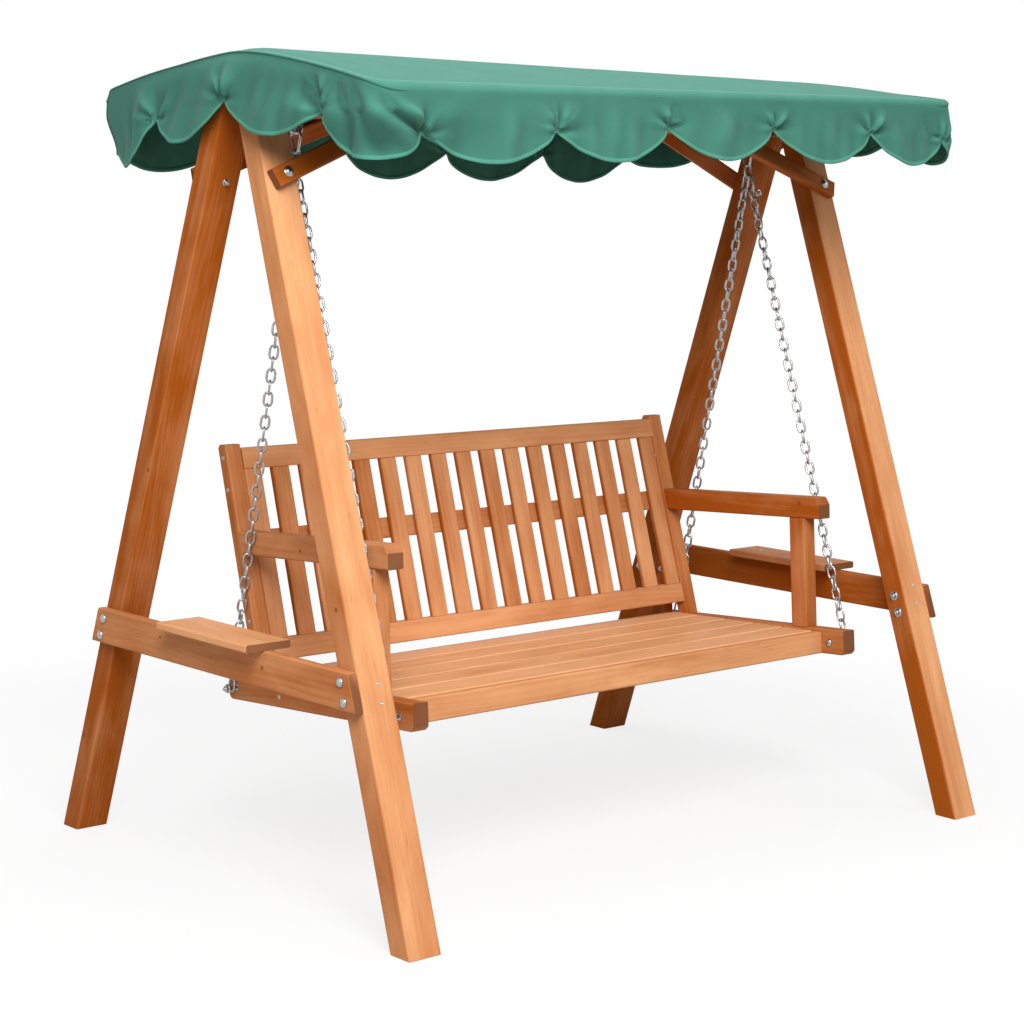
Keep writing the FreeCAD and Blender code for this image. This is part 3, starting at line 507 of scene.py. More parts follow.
for xName, xSign in (("left", -1), ("right", 1)):
    centre = np.array([xSign * chainSizes["place"], 0, benchSizes["hinge"]])
    size = hookSizes
    points, faces = wireRing(pearPath() + centre, size["wire"], size["sides"], [1, 0, 0])
    piece = zincPiece(f"pear_hook_{xName}", hang(points), faces, "bench")
    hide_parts(f"hook_{xName}")
    size = ringSizes
    low, high = size["middle"] - size["halfLength"], size["middle"] + size["halfLength"]
    path = roundedPath(size["halfWidth"], low, high, size["corner"]) + centre
    points, faces = wireRing(path, size["wire"], size["sides"], [0, 1, 0])
    piece = zincPiece(f"joining_ring_{xName}", hang(points), faces, "bench")
    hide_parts(f"ring_{xName}")
    size = eyeSizes
    path = roundedPath(size["half"], 0, size["rise"], size["bend"]) + centre
    loop, loopFaces = wireRing(path, size["wire"], size["sides"], [0, 1, 0])
    loop = loop.reshape(-1, 3)
    seat = size["rise"] + size["wire"] / 2
    rim, thick, edge = size["collar"], size["collarThick"], size["collarEdge"]
    collar, collarFaces = turned([(0, seat - edge), (rim - edge, seat - edge), (rim, seat),
                                  (rim, seat + thick), (0, seat + thick)], 24)
    points = np.concatenate([loop, collar.reshape(-1, 3) + centre])
    faces = np.concatenate([loopFaces, collarFaces + len(loop)])
    piece = zincPiece(f"screw_eye_{xName}", points, faces, "frame")
    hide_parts(f"eye_{xName}")
    chainPiece(xName, xSign, "front", chainSizes["boltFront"])
    chainPiece(xName, xSign, "rear", chainSizes["boltRear"])
print("chains, rings, hooks and eyes made")


# fasteners
# turned heads: a dome is radius sin a, height cos a on a short cylinder

fastenerSizes = {
    "legTilt": 18.5, "footSpread": 1.35, "legDepth": 0.062, "legInner": 0.850, "railFace": 0.959,
    "railHeights": (0.503, 0.544), "braceHeight": 1.603, "braceThick": 0.022, "bracePlace": 0.887,
    "seatRail": 0.734, "railInner": (0.690, 0.668),  # outer face, and inner faces at front and rear
    # radius, height and brim of domes
    "railDome": (0.0108, 0.0052, 0.0012), "braceDome": (0.0085, 0.0045, 0.0008),
    "chainDome": (0.0098, 0.0056, 0.0012),
    # radius and height of washers, nuts and bolt ends
    "railWasher": (0.0125, 0.0018), "braceWasher": (0.0095, 0.0015), "supportWasher": (0.0085, 0.0015),
    "faceWasher": (0.0085, 0.0012), "chainWasher": (0.011, 0.0025),
    "railNut": (0.0075, 0.0065), "braceNut": (0.0065, 0.0055), "supportNut": (0.006, 0.005),
    "chainNut": (0.0075, 0.007), "boltEnd": (0.004, 0.0042),
    "railEndRise": 0.0083, "endRise": 0.006, "chainGap": 0.0003, "shankOut": 0.0135,
    # radius and places of screws
    "legScrew": 0.0046, "legScrews": ((-0.884, (0.498, 0.538)), (0.897, (0.525, 0.569))),
    "benchScrew": 0.0055,
    "benchScrews": ((0.346, 0.948), (0.330, 0.872), (0.258, 0.566), (0.143, 0.401), (-0.205, 0.410)),
    "shelfScrew": 0.0042, "shelfScrews": ((0.9475, -0.150, 0.585), (0.9475, 0.096, 0.585)),
    "supportNuts": ((0.690, 0.321, 0.868), (0.668, 0.279, 0.560)),
}


def domeShape(radius, height, brim):
    a = np.linspace(0, math.pi / 2, 7)
    stages = [(0, height + brim)] + [(radius * math.sin(t), brim + height * math.cos(t)) for t in a[1:]]
    return turned(stages + [(radius, 0), (0, 0)], 20)


def washerShape(radius, thick):
    return turned([(0, thick), (radius - 0.0004, thick), (radius, thick - 0.0004), (radius, 0), (0, 0)], 24)


def nutShape(radius, height):
    return turned([(0, height), (radius * 0.86, height), (radius, height * 0.82), (radius, 0), (0, 0)], 6)


def screwShape(radius):
    return turned([(0, -0.0002), (radius * 0.3, -0.0001), (radius * 0.36, 0.0010), (radius * 0.8, 0.0008),
                   (radius, 0.0001), (radius, -0.001), (0, -0.001)], 16)


def endShape(radius, height):
    return turned([(0, height), (radius * 0.8, height), (radius, height - 0.0008), (radius, 0), (0, 0)], 12)


# one mesh of several shapes at several places; what sits on the bench hangs with it
def fasteners(name, shapes, centres, axes, body):
    if body == "bench":
        spots, tips = hang(np.array(centres)), hang(np.array(centres) + np.array(axes))
        centres, axes = spots, tips - spots
    bases = basesAlong(axes)
    points, faces, count = [], [], 0
    for (shape, shapeFaces), rise in shapes:
        p, f = copies(shape, shapeFaces, bases, np.array(centres) + unit(np.array(axes, float)) * rise)
        points.append(p)
        faces.append(f + count)
        count += len(p)
    return zincPiece(name, np.concatenate(points), np.concatenate(faces), body)


# the same places left and right, and axes along X: outwards for a way of 1, inwards for -1
def bothSides(places, way):
    spots = [(xSign * x, y, z) for xSign in (-1, 1) for x, y, z in places]
    return spots, [(xSign * way, 0, 0) for xSign in (-1, 1) for _ in places]


# a washer, a nut on it and the bolt's end, with the height at which each starts
def nutStack(washer, nut, endRise):
    end = endShape(*fastenerSizes["boltEnd"])
    return [(washerShape(*washer), 0), (nutShape(*nut), washer[1]), (end, endRise)]


size = fastenerSizes
slope = math.tan(math.radians(size["legTilt"]))
lean = math.radians(size["legTilt"])
halfDepth = size["legDepth"] / math.cos(lean) / 2


# y of a leg's outer face at a height
def legFace(z):
    return size["footSpread"] / 2 - z * slope


places = [(ySign * (legFace(z) - halfDepth), z) for ySign in (-1, 1) for z in size["railHeights"]]
spots, axes = bothSides([(size["railFace"], y, z) for y, z in places], 1)
fasteners("rail_coach_bolts", [(domeShape(*size["railDome"]), 0)], spots, axes, "frame")
spots, axes = bothSides([(size["legInner"], y, z) for y, z in places], -1)
stack = nutStack(size["railWasher"], size["railNut"], size["railEndRise"])
fasteners("rail_nuts", stack, spots, axes, "frame")

spots, axes = [], []
for x, heights in size["legScrews"]:
    for ySign in (-1, 1):
        for z in heights:
            spots.append((x, ySign * legFace(z), z))
            axes.append((0, ySign * math.cos(lean), math.sin(lean)))
fasteners("leg_screws", [(screwShape(size["legScrew"]), 0)], spots, axes, "frame")

spots, axes, ends = [], [], []
for xSign in (-1, 1):
    for ySign in (-1, 1):
        outwards = np.array([0, ySign * math.cos(lean), math.sin(lean)])
        face = ySign * legFace(size["braceHeight"])
        spot = np.array([xSign * size["bracePlace"], face, size["braceHeight"]])
        spots.append(spot + outwards * size["braceThick"])
        ends.append(spot - outwards * size["legDepth"])
        axes.append(outwards)
head = [(washerShape(*size["railWasher"]), 0), (domeShape(*size["braceDome"]), size["railWasher"][1])]
fasteners("brace_bolts", head, spots, axes, "frame")
stack = nutStack(size["braceWasher"], size["braceNut"], size["endRise"])
fasteners("brace_nuts", stack, ends, -np.array(axes), "frame")

# chain bolts: domed heads inside the seat rails, washers and nuts outside the chains
chain = chainSizes
boltYs = chain["boltFront"], chain["boltRear"]
boltZ = benchSizes["hinge"] - chain["drop"]
reach = chain["place"] + chain["split"] + chain["wire"] / 2 + size["chainGap"] - size["seatRail"]
stack = [(washerShape(*size["faceWasher"]), 0), (endShape(chain["bolt"] / 2, reach + size["shankOut"]), 0),
         (washerShape(*size["chainWasher"]), reach),
         (nutShape(*size["chainNut"]), reach + size["chainWasher"][1])]
spots, axes = bothSides([(size["seatRail"], y, boltZ) for y in boltYs], 1)
outer = fasteners("chain_bolt_nuts", stack, spots, axes, "bench")
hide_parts("chain_bolts")
spots, axes = bothSides([(inner, y, boltZ) for y, inner in zip(boltYs, size["railInner"])], -1)
fasteners("chain_bolt_heads", [(domeShape(*size["chainDome"]), 0)], spots, axes, "bench")

# screws through the stiles and the seat rails, nuts inside the stiles, and screws through the shelves
spots, axes = bothSides([(size["seatRail"], y, z) for y, z in size["benchScrews"]], 1)
fasteners("bench_screws", [(screwShape(size["benchScrew"]), 0)], spots, axes, "bench")
stack = nutStack(size["supportWasher"], size["supportNut"], size["endRise"])
fasteners("support_nuts", stack, *bothSides(size["supportNuts"], -1), "bench")
spots = bothSides(size["shelfScrews"], 1)[0]
fasteners("shelf_screws", [(screwShape(size["shelfScrew"]), 0)], spots, [(0, 0, 1)] * len(spots), "frame")
print("fasteners made")


# canopy

clothLook = {
    "lit": (0.052, 0.199, 0.145, 1.0),
    "deep": (0.029, 0.128, 0.090, 1.0),
    "roughness": 0.85, "gloss": 0.2,
    "sheen": 0.12, "sheenRough": 0.5, "sheenTint": (0.55, 0.92, 0.80, 1.0),
    # painted shade in the grooves and painted highlight on the ridges: the span of the bend, and the colour
    # scale it gives
    "bendSpan": (0.46, 0.54), "paintedFoldShadeAndHighlight": (0.60, 1.22),
    "shade": 0.55, "cloudShade": 0.7, "slubShade": 0.35,
    "thread": 5200.0, "threadHeight": 0.5, "slubHeight": 1.5, "weaveBump": 0.12, "weaveDepth": 0.0003,
    "cloud": ((9, 9, 9), 3.0, 0.3), "slub": ((60, 700, 60), 2.0, 0.0),
    "bindingTint": 1.12,
}


def weaveGroup():
    look = clothLook
    group, given, result = newGroup("clothWeave", [("Cut", "Vector")],
                                    [("Colour", "Color"), ("Height", "Float")])
    part = put(group, "SeparateXYZ", {0: given["Cut"]}).outputs
    warp, weft = (sums(group, "SINE", sums(group, "MULTIPLY", part[i], look["thread"])) for i in (0, 1))
    cloud = streaks(group, given["Cut"], *look["cloud"])
    slub = streaks(group, given["Cut"], *look["slub"])
    value = plus(group, plus(group, look["shade"], cloud, look["cloudShade"]), slub, look["slubShade"])
    weave = sums(group, "MULTIPLY", sums(group, "MULTIPLY", warp, weft), look["threadHeight"])
    feed(group, result, {"Colour": mixed(group, value, look["deep"], look["lit"]),
                         "Height": plus(group, weave, slub, look["slubHeight"])})
    return group


clothWeave = weaveGroup()


def clothFinish(name, tint):
    look = clothLook
    material, tree, shader = newMaterial(name)
    cut = put(tree, "UVMap", uv_map="cut").outputs[0]
    weave = put(tree, "Group", {"Cut": cut}, node_tree=clothWeave).outputs
    colour = weave["Colour"]
    if tint != 1:
        colour = mixed(tree, 1.0, colour, (tint, tint, tint, 1.0), blend_type="MULTIPLY")
    # painted shade in the grooves and painted highlight on the ridges, from the surface's own bend
    bend = put(tree, "NewGeometry").outputs["Pointiness"]
    colour = scaled(tree, colour, ranged(tree, bend, look["bendSpan"], look["paintedFoldShadeAndHighlight"]))
    bump = put(tree, "Bump", {"Height": weave["Height"], "Strength": look["weaveBump"],
                              "Distance": look["weaveDepth"]})
    feed(tree, shader, {"Base Color": colour, "Roughness": look["roughness"], "Normal": bump.outputs[0],
                        "Specular IOR Level": look["gloss"], "Sheen Weight": look["sheen"],
                        "Sheen Roughness": look["sheenRough"], "Sheen Tint": look["sheenTint"]})
    return material


def clothPiece(name, points, faces, material, cut):
    return makePiece(name, points, faces, material, "frame", cut, False)


canopySizes = {
    "halfLength": 0.952, "halfDepth": 0.545, "corner": 0.06, "ridge": 1.8845, "ridgeRound": 0.04,
    "pullLeft": 0.012, "pullRight": 0.030, "pullPower": 1.4,  # how far the ridge's ends stand in
    "apexLeft": -0.030, "apexRight": 0.050, "apexFrom": 0.845, "apexRun": 0.107,  # where they wander to
    "endDrop": 0.013, "dropFrom": 0.86, "dropRun": 0.09,  # and how far they fall
    "eaveFront": (1.790, 1.826), "eaveRear": (1.7925, 1.796),  # at the left and right ends
    "slack": 0.0015, "droop": 0.050, "droopReach": 0.028,  # droop of the rear left corner
    # the rear left corner drawn in at the top, and all corners below a height: right, front left, rear left
    "drawTop": 0.022, "drawTopReach": 0.17, "drawTopFrom": 0.9085, "drawTopRun": 0.03,
    "drawFrom": 1.746, "drawRun": 0.10, "drawFoot": 0.022, "drawFootReach": 0.09,
    "drawFront": 0.075, "drawFrontReach": 0.25, "drawRear": 0.058, "drawRearReach": 0.16,
    "eaveRound": 0.014, "seamRound": 0.003,  # roll of the cloth over the eaves and the gable seams
    "crownFront": 1.45, "crownRear": 1.15,  # power of each slope's curve
    "scallopPower": 0.9, "pointedPower": 1.15,  # of all scallops, and of the rear left corner's
    "billow": 0.017, "flare": 0.006, "leanRun": 0.012, "tuck": 0.0016, "tuckRun": 0.003,
    "jointReach": 0.22, "pinch": 0.009, "pinchReach": 0.028, "crease": 0.0082, "fold": 0.0150,
    "firstFold": 0.15, "ripple": 0.0060, "cornerInset": 0.02, "calmReach": 0.13,
    # creases and folds at each joint: angles, their spread, and the ranges of width, reach and strength
    "creases": ((-78, -46, -17, 12, 41, 74), 9, (0.16, 0.27), (0.014, 0.026), (0.6, 1.1)),
    "folds": ((-38, 33), 16, (0.22, 0.34), (0.045, 0.07), (0.5, 1.0)),
    # ripples: wave length, slant and phase
    "waves": ((0.31, 1.5, 0.4), (0.17, 2.4, 2.1), (0.118, -3.0, 0.9), (0.093, 3.4, 4.4), (0.061, 2.4, 1.2)),
    # grooves and rolls round the front left corner: place, depth, slant and width
    "cornerFolds": (
        (-0.200, 0.013, 0.02, 0.020), (-0.162, -0.009, 0.00, 0.013), (-0.115, 0.008, 0.05, 0.020),
        (-0.070, 0.013, 0.08, 0.018), (-0.030, -0.009, 0.10, 0.020), (0.005, 0.020, 0.12, 0.017),
        (0.045, -0.010, 0.09, 0.016)),
    "railFoot": 1.743, "railGap": 0.001, "freeRun": 0.03,  # the eave rails stop the cloth above their foot
    "thick": 0.0012, "lap": (0.016, 0.008), "lapLift": 0.0004,
    "columns": 1200, "rows": 24, "rowPower": 0.92, "roofGrid": (76, 130),
    "hem": 0.0085, "piping": 0.0028, "welt": 0.0016, "tubeSides": 8, "tubeStep": 0.002,
    "gableReach": 0.10, "taperRun": 0.09, "pipingLift": 0.0014, "pipingEnd": 0.05, "pipingSink": 0.003,
    # the binding's section: height in hems, and distance from the cloth
    "hemSection": ((1.0, 0.0006), (0.9, 0.0016), (0.15, 0.0019), (-0.08, 0.0006), (-0.08, -0.0016),
                   (0.15, -0.0030), (0.9, -0.0028), (1.0, -0.0014)),
    # scallop joints (place, height) in the edge's order, and the lowest height of the scallop after each
    "front": ((-0.832, 1.690), (-0.448, 1.706), (-0.098, 1.724), (0.250, 1.732), (0.607, 1.731),
              (0.900, 1.720)),
    "frontLow": (1.632, 1.643, 1.654, 1.655, 1.657, 1.662),
    "right": ((-0.330, 1.735), (0.0, 1.765), (0.330, 1.730)),
    "rightLow": (1.685, 1.680, 1.655),
    "rear": ((0.835, 1.680), (0.503, 1.678), (0.149, 1.675), (-0.195, 1.676), (-0.545, 1.678)),
    "rearLow": (1.604, 1.603, 1.602, 1.603, 1.608),
    "left": ((0.527, 1.664), (0.273, 1.722), (-0.008, 1.765), (-0.356, 1.737)),
    "leftLow": (1.617, 1.672, 1.686, 1.637),
}


# eased step: t t (3 - 2 t), flat below 0 and above 1
def eased(t):
    t = np.clip(t, 0, 1)
    return t * t * (3 - 2 * t)


def between(pair, share):
    return pair[0] + (pair[1] - pair[0]) * share


# distance from the ridge as a share of each slope; past the batten the ridge moves to the apex of its gable
def slopeShare(x, y):
    size = canopySizes
    apex = np.where(x < 0, size["apexLeft"], size["apexRight"])
    apex = apex * eased((np.abs(x) - size["apexFrom"]) / size["apexRun"])
    return np.abs(y - apex) / (size["halfDepth"] + np.where(y < apex, apex, -apex)), y < apex


# the ridge's ends stand in: x shrinks by pull (1 - share)^power
def pulledIn(x, y):
    size = canopySizes
    pull = np.where(x < 0, size["pullLeft"], size["pullRight"])
    rest = np.clip(1 - slopeShare(x, y)[0], 0, 1)
    return x * (1 - pull / size["halfLength"] * rest ** size["pullPower"])


# roof height: ridge minus the fall times share^power, rounded over the ridge, with slack ripples,
# lower at the ridge's ends and at the corner that droops
def roofHeight(x, y):
    size = canopySizes
    across = (x / size["halfLength"] + 1) / 2
    rest, onFront = slopeShare(x, y)
    soft = size["ridgeRound"]
    rest = (np.sqrt(rest ** 2 + soft ** 2) - soft) / (math.sqrt(1 + soft ** 2) - soft)
    rest = np.clip(rest, 0, 1)
    ridge = size["ridge"] - size["endDrop"] * eased((np.abs(x) - size["dropFrom"]) / size["dropRun"])
    fall = ridge - np.where(onFront, between(size["eaveFront"], across), between(size["eaveRear"], across))
    power = np.where(onFront, size["crownFront"], size["crownRear"])
    slack = size["slack"] * np.sin(9 * x + 4 * y) * np.sin(7 * y - 2 * x) * np.sin(np.pi * rest)
    fromCorner = np.hypot(x + size["halfLength"], y - size["halfDepth"]) / size["droopReach"]
    return ridge - fall * rest ** power + np.abs(slack) - size["droop"] * np.exp(-fromCorner ** 2)


# below the eaves both coordinates of the corners move in by amount exp(-distance^2 / reach^2) / sqrt 2,
# and the rear left corner moves further, along Y only
def drawnFoot(x, y, share):
    size = canopySizes
    off = (size["halfLength"] - np.abs(x)) ** 2 + (size["halfDepth"] - np.abs(y)) ** 2
    frontLeft = (x < 0) & (y < 0)
    amount = np.where(frontLeft, size["drawFront"], size["drawFoot"])
    reach = np.where(frontLeft, size["drawFrontReach"], size["drawFootReach"])
    step = share * amount * np.exp(-off / reach ** 2) / math.sqrt(2)
    far = share * size["drawRear"] * np.exp(-off / size["drawRearReach"] ** 2)
    rearLeft = (x < 0) & (y > 0)
    return np.where(rearLeft, x, x - np.sign(x) * step), np.where(rearLeft, y - far, y - np.sign(y) * step)


# at the top only the rear left corner is drawn in, and only along X, past the eave rail's end
def drawnTop(x, y):
    size = canopySizes
    off = (size["halfLength"] + x) ** 2 + (size["halfDepth"] - y) ** 2
    past = eased((-size["drawTopFrom"] - x) / size["drawTopRun"])
    return x + size["drawTop"] * past * np.exp(-off / size["drawTopReach"] ** 2), y


# the edge in plan, anticlockwise from the front left: straight runs joined by quarter circles
def edgePlan():
    size = canopySizes
    long, deep, r = size["halfLength"], size["halfDepth"], size["corner"]
    a = np.linspace(0, math.pi / 2, 24)
    xs, ys = np.linspace(r - long, long - r, 500), np.linspace(r - deep, deep - r, 300)
    runs = [
        (xs, np.full_like(xs, -deep)),
        (long - r + r * np.sin(a), r - deep - r * np.cos(a)),
        (np.full_like(ys, long), ys),
        (long - r + r * np.cos(a), deep - r + r * np.sin(a)),
        (-xs, np.full_like(xs, deep)),
        (r - long - r * np.sin(a), deep - r + r * np.cos(a)),
        (np.full_like(ys, -long), -ys),
        (r - long - r * np.cos(a), r - deep - r * np.sin(a)),
    ]
    x, y = (np.concatenate(part) for part in zip(*runs))
    keep = np.hypot(np.diff(x, append=x[:1]), np.diff(y, append=y[:1])) > 1e-7
    return x[keep], y[keep]


# a ray from a joint: (reach / far) e^(1 - reach / far) outwards, a bell across its angle
def ray(chance, reach, angle, middle, spread, widths, reaches):
    turn = math.radians(middle + chance.uniform(-spread, spread))
    width = chance.uniform(*widths)
    far = chance.uniform(*reaches)
    return reach / far * np.exp(1 - reach / far) * np.exp(-((angle - turn) / width) ** 2)


# cut coordinates, in metres: along the edge and across it
def cutOf(along, across):
    return np.stack(np.broadcast_arrays(along, across), -1)


def canopyPiece():
    size = canopySizes
    long, deep, count = size["halfLength"], size["halfDepth"], size["columns"]
    planX, planY = edgePlan()
    closedX, closedY = np.append(planX, planX[0]), np.append(planY, planY[0])
    around = np.concatenate([[0], np.cumsum(np.hypot(np.diff(closedX), np.diff(closedY)))])
    total = around[-1]
    s = np.arange(count) * total / count
    x, y = np.interp(s, around, closedX), np.interp(s, around, closedY)
    tangent = unit(np.stack([np.roll(x, -1) - np.roll(x, 1), np.roll(y, -1) - np.roll(y, 1)], -1))
    outX, outY = tangent[:, 1], -tangent[:, 0]
    rounding = between((size["seamRound"], size["eaveRound"]), outY ** 2)
    topX = pulledIn(x, y)
    topZ = roofHeight(topX, y) - rounding

    # roll over the edge from a lap on the roof: inwards r (1 - sin a), down r (1 - cos a)
    a = np.linspace(0, math.pi / 2, 8)[None, :-1]
    inwards = np.concatenate([rounding[:, None] + [size["lap"]], rounding[:, None] * (1 - np.sin(a))], 1)
    down = np.concatenate([np.zeros((count, 2)), rounding[:, None] * (1 - np.cos(a))], 1)
    rollY = y[:, None] - outY[:, None] * inwards
    rollX = pulledIn(x[:, None] - outX[:, None] * inwards, rollY)
    roll = np.stack([*drawnTop(rollX, rollY), roofHeight(rollX, rollY) - down + size["lapLift"]], -1)

    # a place on a side, as a length from the edge's start
    def along(side, place):
        if side in ("front", "rear"):
            run = closedX
            mask = np.abs(closedY + (deep if side == "front" else -deep)) < 1e-6
        else:
            run = closedY
            mask = closedX > 0.6 * long if side == "right" else closedX < -0.6 * long
            mask &= np.abs(closedY) < deep - 1e-6
            mask[-1] = False
        order = np.argsort(run[mask])
        return float(np.interp(place, run[mask][order], around[mask][order]))

    # how far each column is past a place, at most half way round
    def past(place):
        return (s - place + total / 2) % total - total / 2

    joints, lows = [], []
    for side in ("front", "right", "rear", "left"):
        joints += [(along(side, place), height) for place, height in size[side]]
        lows += size[side + "Low"]
    jointS, jointZ = np.array(joints).T
    lows = np.array(lows)
    last = (np.searchsorted(jointS, s, side="right") - 1) % len(jointS)
    following = (last + 1) % len(jointS)
    span = (jointS[following] - jointS[last]) % total
    t = ((s - jointS[last]) % total) / span
    straight = jointZ[last] + (jointZ[following] - jointZ[last]) * t
    # scallop: straight line between joints minus depth (4 t (1 - t))^power, pointed at the rear left corner
    rearLeft = len(size["front"]) + len(size["right"]) + len(size["rear"])
    power = np.where(last == rearLeft, size["pointedPower"], size["scallopPower"])
    edgeZ = straight - ((jointZ[last] + jointZ[following]) / 2 - lows[last]) * (4 * t * (1 - t)) ** power

    corner = along("left", size["cornerInset"] - deep)
    rearCorner = along("left", deep - size["cornerInset"])
    calm = 1 - np.exp(-((s - rearCorner) / size["calmReach"]) ** 2)[:, None]
    v = np.linspace(0, 1, size["rows"]) ** size["rowPower"]

    # valance: hangs from the edge, tucked in under the piping, leans out to the eaves' plane, swells in each
    # scallop, and is drawn in at the joints, with creases that fan out from each joint
    def valance(v, push=0.0):
        v = np.broadcast_to(v, (count, v.shape[1]))
        z = topZ[:, None] + (edgeZ - topZ)[:, None] * v
        fallen = topZ[:, None] - z
        out = np.abs(x - topX)[:, None] * (1 - np.exp(-fallen / size["leanRun"])) + size["flare"] * v
        tuck = size["tuck"] * fallen / size["tuckRun"] * np.exp(1 - fallen / size["tuckRun"])
        out = out - tuck * outX[:, None] ** 2
        out = out + size["billow"] * np.sin(np.pi * t)[:, None] ** 0.8 * v ** 1.5 * calm
        chance = np.random.default_rng(5)
        for place, height in zip(jointS, jointZ):
            du = past(place)
            near = np.abs(du) < size["jointReach"]
            dx, dz = du[near][:, None], z[near] - height
            reach, angle = np.hypot(dx, dz), np.arctan2(dx, dz)
            more = -size["pinch"] * np.exp(-(reach / size["pinchReach"]) ** 2)
            middles, *spread, strength = size["creases"]
            for number, middle in enumerate(middles):
                shape = ray(chance, reach, angle, middle, *spread)
                more = more + (-1) ** number * size["crease"] * chance.uniform(*strength) * shape
            middles, *spread, strength = size["folds"]
            for middle in middles:
                shape = ray(chance, reach, angle, middle, *spread)
                way = chance.choice([-1, 1]) * (size["firstFold"] if place == jointS[0] else 1.0)
                more = more + way * size["fold"] * chance.uniform(*strength) * shape
            out[near] += more * np.minimum(1, eased(v[near]) * 2.2) * calm[near]
        for wave, slant, phase in size["waves"]:
            turns = 2 * np.pi * np.round(total / np.array([wave, 0.83])) / total
            swing = 0.6 + 0.4 * np.sin(turns[1] * s[:, None] + 3 * phase)
            swing = swing * np.sin(turns[0] * s[:, None] + phase + slant * v) * (wave / 0.2) ** 0.8
            out = out + size["ripple"] * swing * eased(1.5 * v) * (1 - 0.4 * v ** 3) * calm
        du = past(corner)[:, None]
        for place, depth, slant, width in size["cornerFolds"]:
            fold = depth * np.exp(-((du - place - slant * v) / width) ** 2)
            out = out - fold * eased(2.2 * v) * (1 - 0.6 * v ** 3)
        # the eave rails stop the cloth just inside it, and below them it is free
        free = size["freeRun"] * eased((size["railFoot"] - z) / size["freeRun"])
        out = np.maximum(out, -size["railGap"] - free) + push
        plan = drawnTop(topX[:, None] + 0 * v, y[:, None] + 0 * v)
        plan = plan[0] + outX[:, None] * out, plan[1] + outY[:, None] * out
        return np.stack([*drawnFoot(*plan, eased((size["drawFrom"] - z) / size["drawRun"])), z], -1)

    skirt = np.concatenate([roll, valance(v[None])], 1)
    roofRows, roofColumns = size["roofGrid"]
    a = np.linspace(0, math.pi / 2, 10)
    r, middleRows = size["corner"], roofRows - 2 * (len(a) - 1)
    rowY = np.concatenate([r - deep - r * np.cos(a)[:-1], np.linspace(r - deep, deep - r, middleRows),
                           deep - r + r * np.sin(a)[1:]]) * (1 - size["eaveRound"] / deep)
    rowX = np.concatenate([long - r + r * np.sin(a)[:-1], np.full(middleRows, long),
                           long - r + r * np.cos(a)[1:]])
    roofX = np.linspace(-1, 1, roofColumns)[None] * rowX[:, None]
    roofY = np.broadcast_to(rowY[:, None], roofX.shape)
    roofX = pulledIn(roofX, roofY) * (1 - size["seamRound"] / long)
    roof = np.stack([*drawnTop(roofX, roofY), roofHeight(roofX, roofY)], -1)
    skirtFaces = gridFaces(count, skirt.shape[1], wrapRows=True)[:, ::-1] + roofRows * roofColumns
    faces = np.concatenate([gridFaces(roofRows, roofColumns), skirtFaces])
    hung = np.concatenate([-inwards, (topZ - edgeZ)[:, None] * v[None]], 1)
    cut = np.concatenate([cutOf(roofX, roofY).reshape(-1, 2), cutOf(s[:, None], hung).reshape(-1, 2)])
    points = np.concatenate([roof.reshape(-1, 3), skirt.reshape(-1, 3)])
    cloth = clothPiece("canopy_cloth", points, faces, clothFinish("canopy_green", 1), cut)
    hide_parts("canopy_cover")
    wall = cloth.modifiers.new("thickness", "SOLIDIFY")
    wall.thickness = size["thick"]
    wall.offset = -1

    # binding: a folded tape round the scalloped edge, its section carried up the cloth
    trim = clothFinish("canopy_binding", clothLook["bindingTint"])
    section = np.array(size["hemSection"])
    rise = size["hem"] / (topZ - edgeZ)
    tape = np.stack([valance((1 - rise * up)[:, None], push)[:, 0] for up, push in section], 1)
    faces = gridFaces(count, len(section), True, True)
    hem = clothPiece("canopy_hem", tape, faces, trim, cutOf(s[:, None], section[None, :, 0] * size["hem"]))
    # piping along the seam of each gable, and a welt down its middle
    welts, sides, top = [], size["tubeSides"], roll.shape[1]
    for side in ("left", "right"):
        apex = along(side, 0.0)
        reach, order = np.abs(past(apex)), np.argsort(past(apex))
        onGable = order[reach[order] < deep + size["gableReach"]]
        seam = skirt[onGable, top] + [0, 0, size["pipingLift"]]
        taper = eased((deep + size["gableReach"] - reach[onGable]) / size["taperRun"])[:, None, None]
        piping = carry(seam, roundSection(size["piping"], sides), [0, 0, 1], False)
        piping = seam[:, None] + (piping - seam[:, None]) * between((size["pipingEnd"], 1), taper)
        piping = piping - [0, 0, size["pipingSink"]] * (1 - taper)
        middle = int(round(apex / total * count)) % count
        welt = carry(skirt[middle, top:], roundSection(size["welt"], sides), [0, 1, 0], False)
        for name, tube, far in (("piping", piping, s[onGable]), ("welt", welt, hung[middle, top:])):
            faces = gridFaces(len(tube), sides, False, True)
            tubeCut = cutOf(far[:, None], np.arange(sides)[None] * size["tubeStep"])
            welts.append(clothPiece(f"canopy_{name}_{side}", tube, faces, trim, tubeCut))


canopyPiece()
print("canopy made")


# stage

stageLook = {
    "camera": (-3.9642, -4.3523, 1.5696), "yaw": 0.72787, "pitch": 0.04491, "roll": 0.01692,
    "lens": 83.277, "sensor": 36.0, "shift": -0.207,
    "floorHalf": 30, "floorSeen": 0.84, "floorBounce": 0.45, "worldFill": 0.28,
    "shadowShare": 0.20, "shadowFrom": 1.6, "shadowTo": 2.8,
    "lamps": (  # place, aim, width, watts
        ((-2.9, -3.8, 4.3), (0, 0, 0.9), 3.4, 400),
        ((-5.0, 0.3, 1.4), (0, 0, 0.7), 3.0, 18),
        ((3.4, -4.2, 2.8), (0, 0, 0.9), 2.6, 38),
        ((0.2, 0.2, 5.0), (0, 0, 0.8), 2.6, 105),
    ),
}


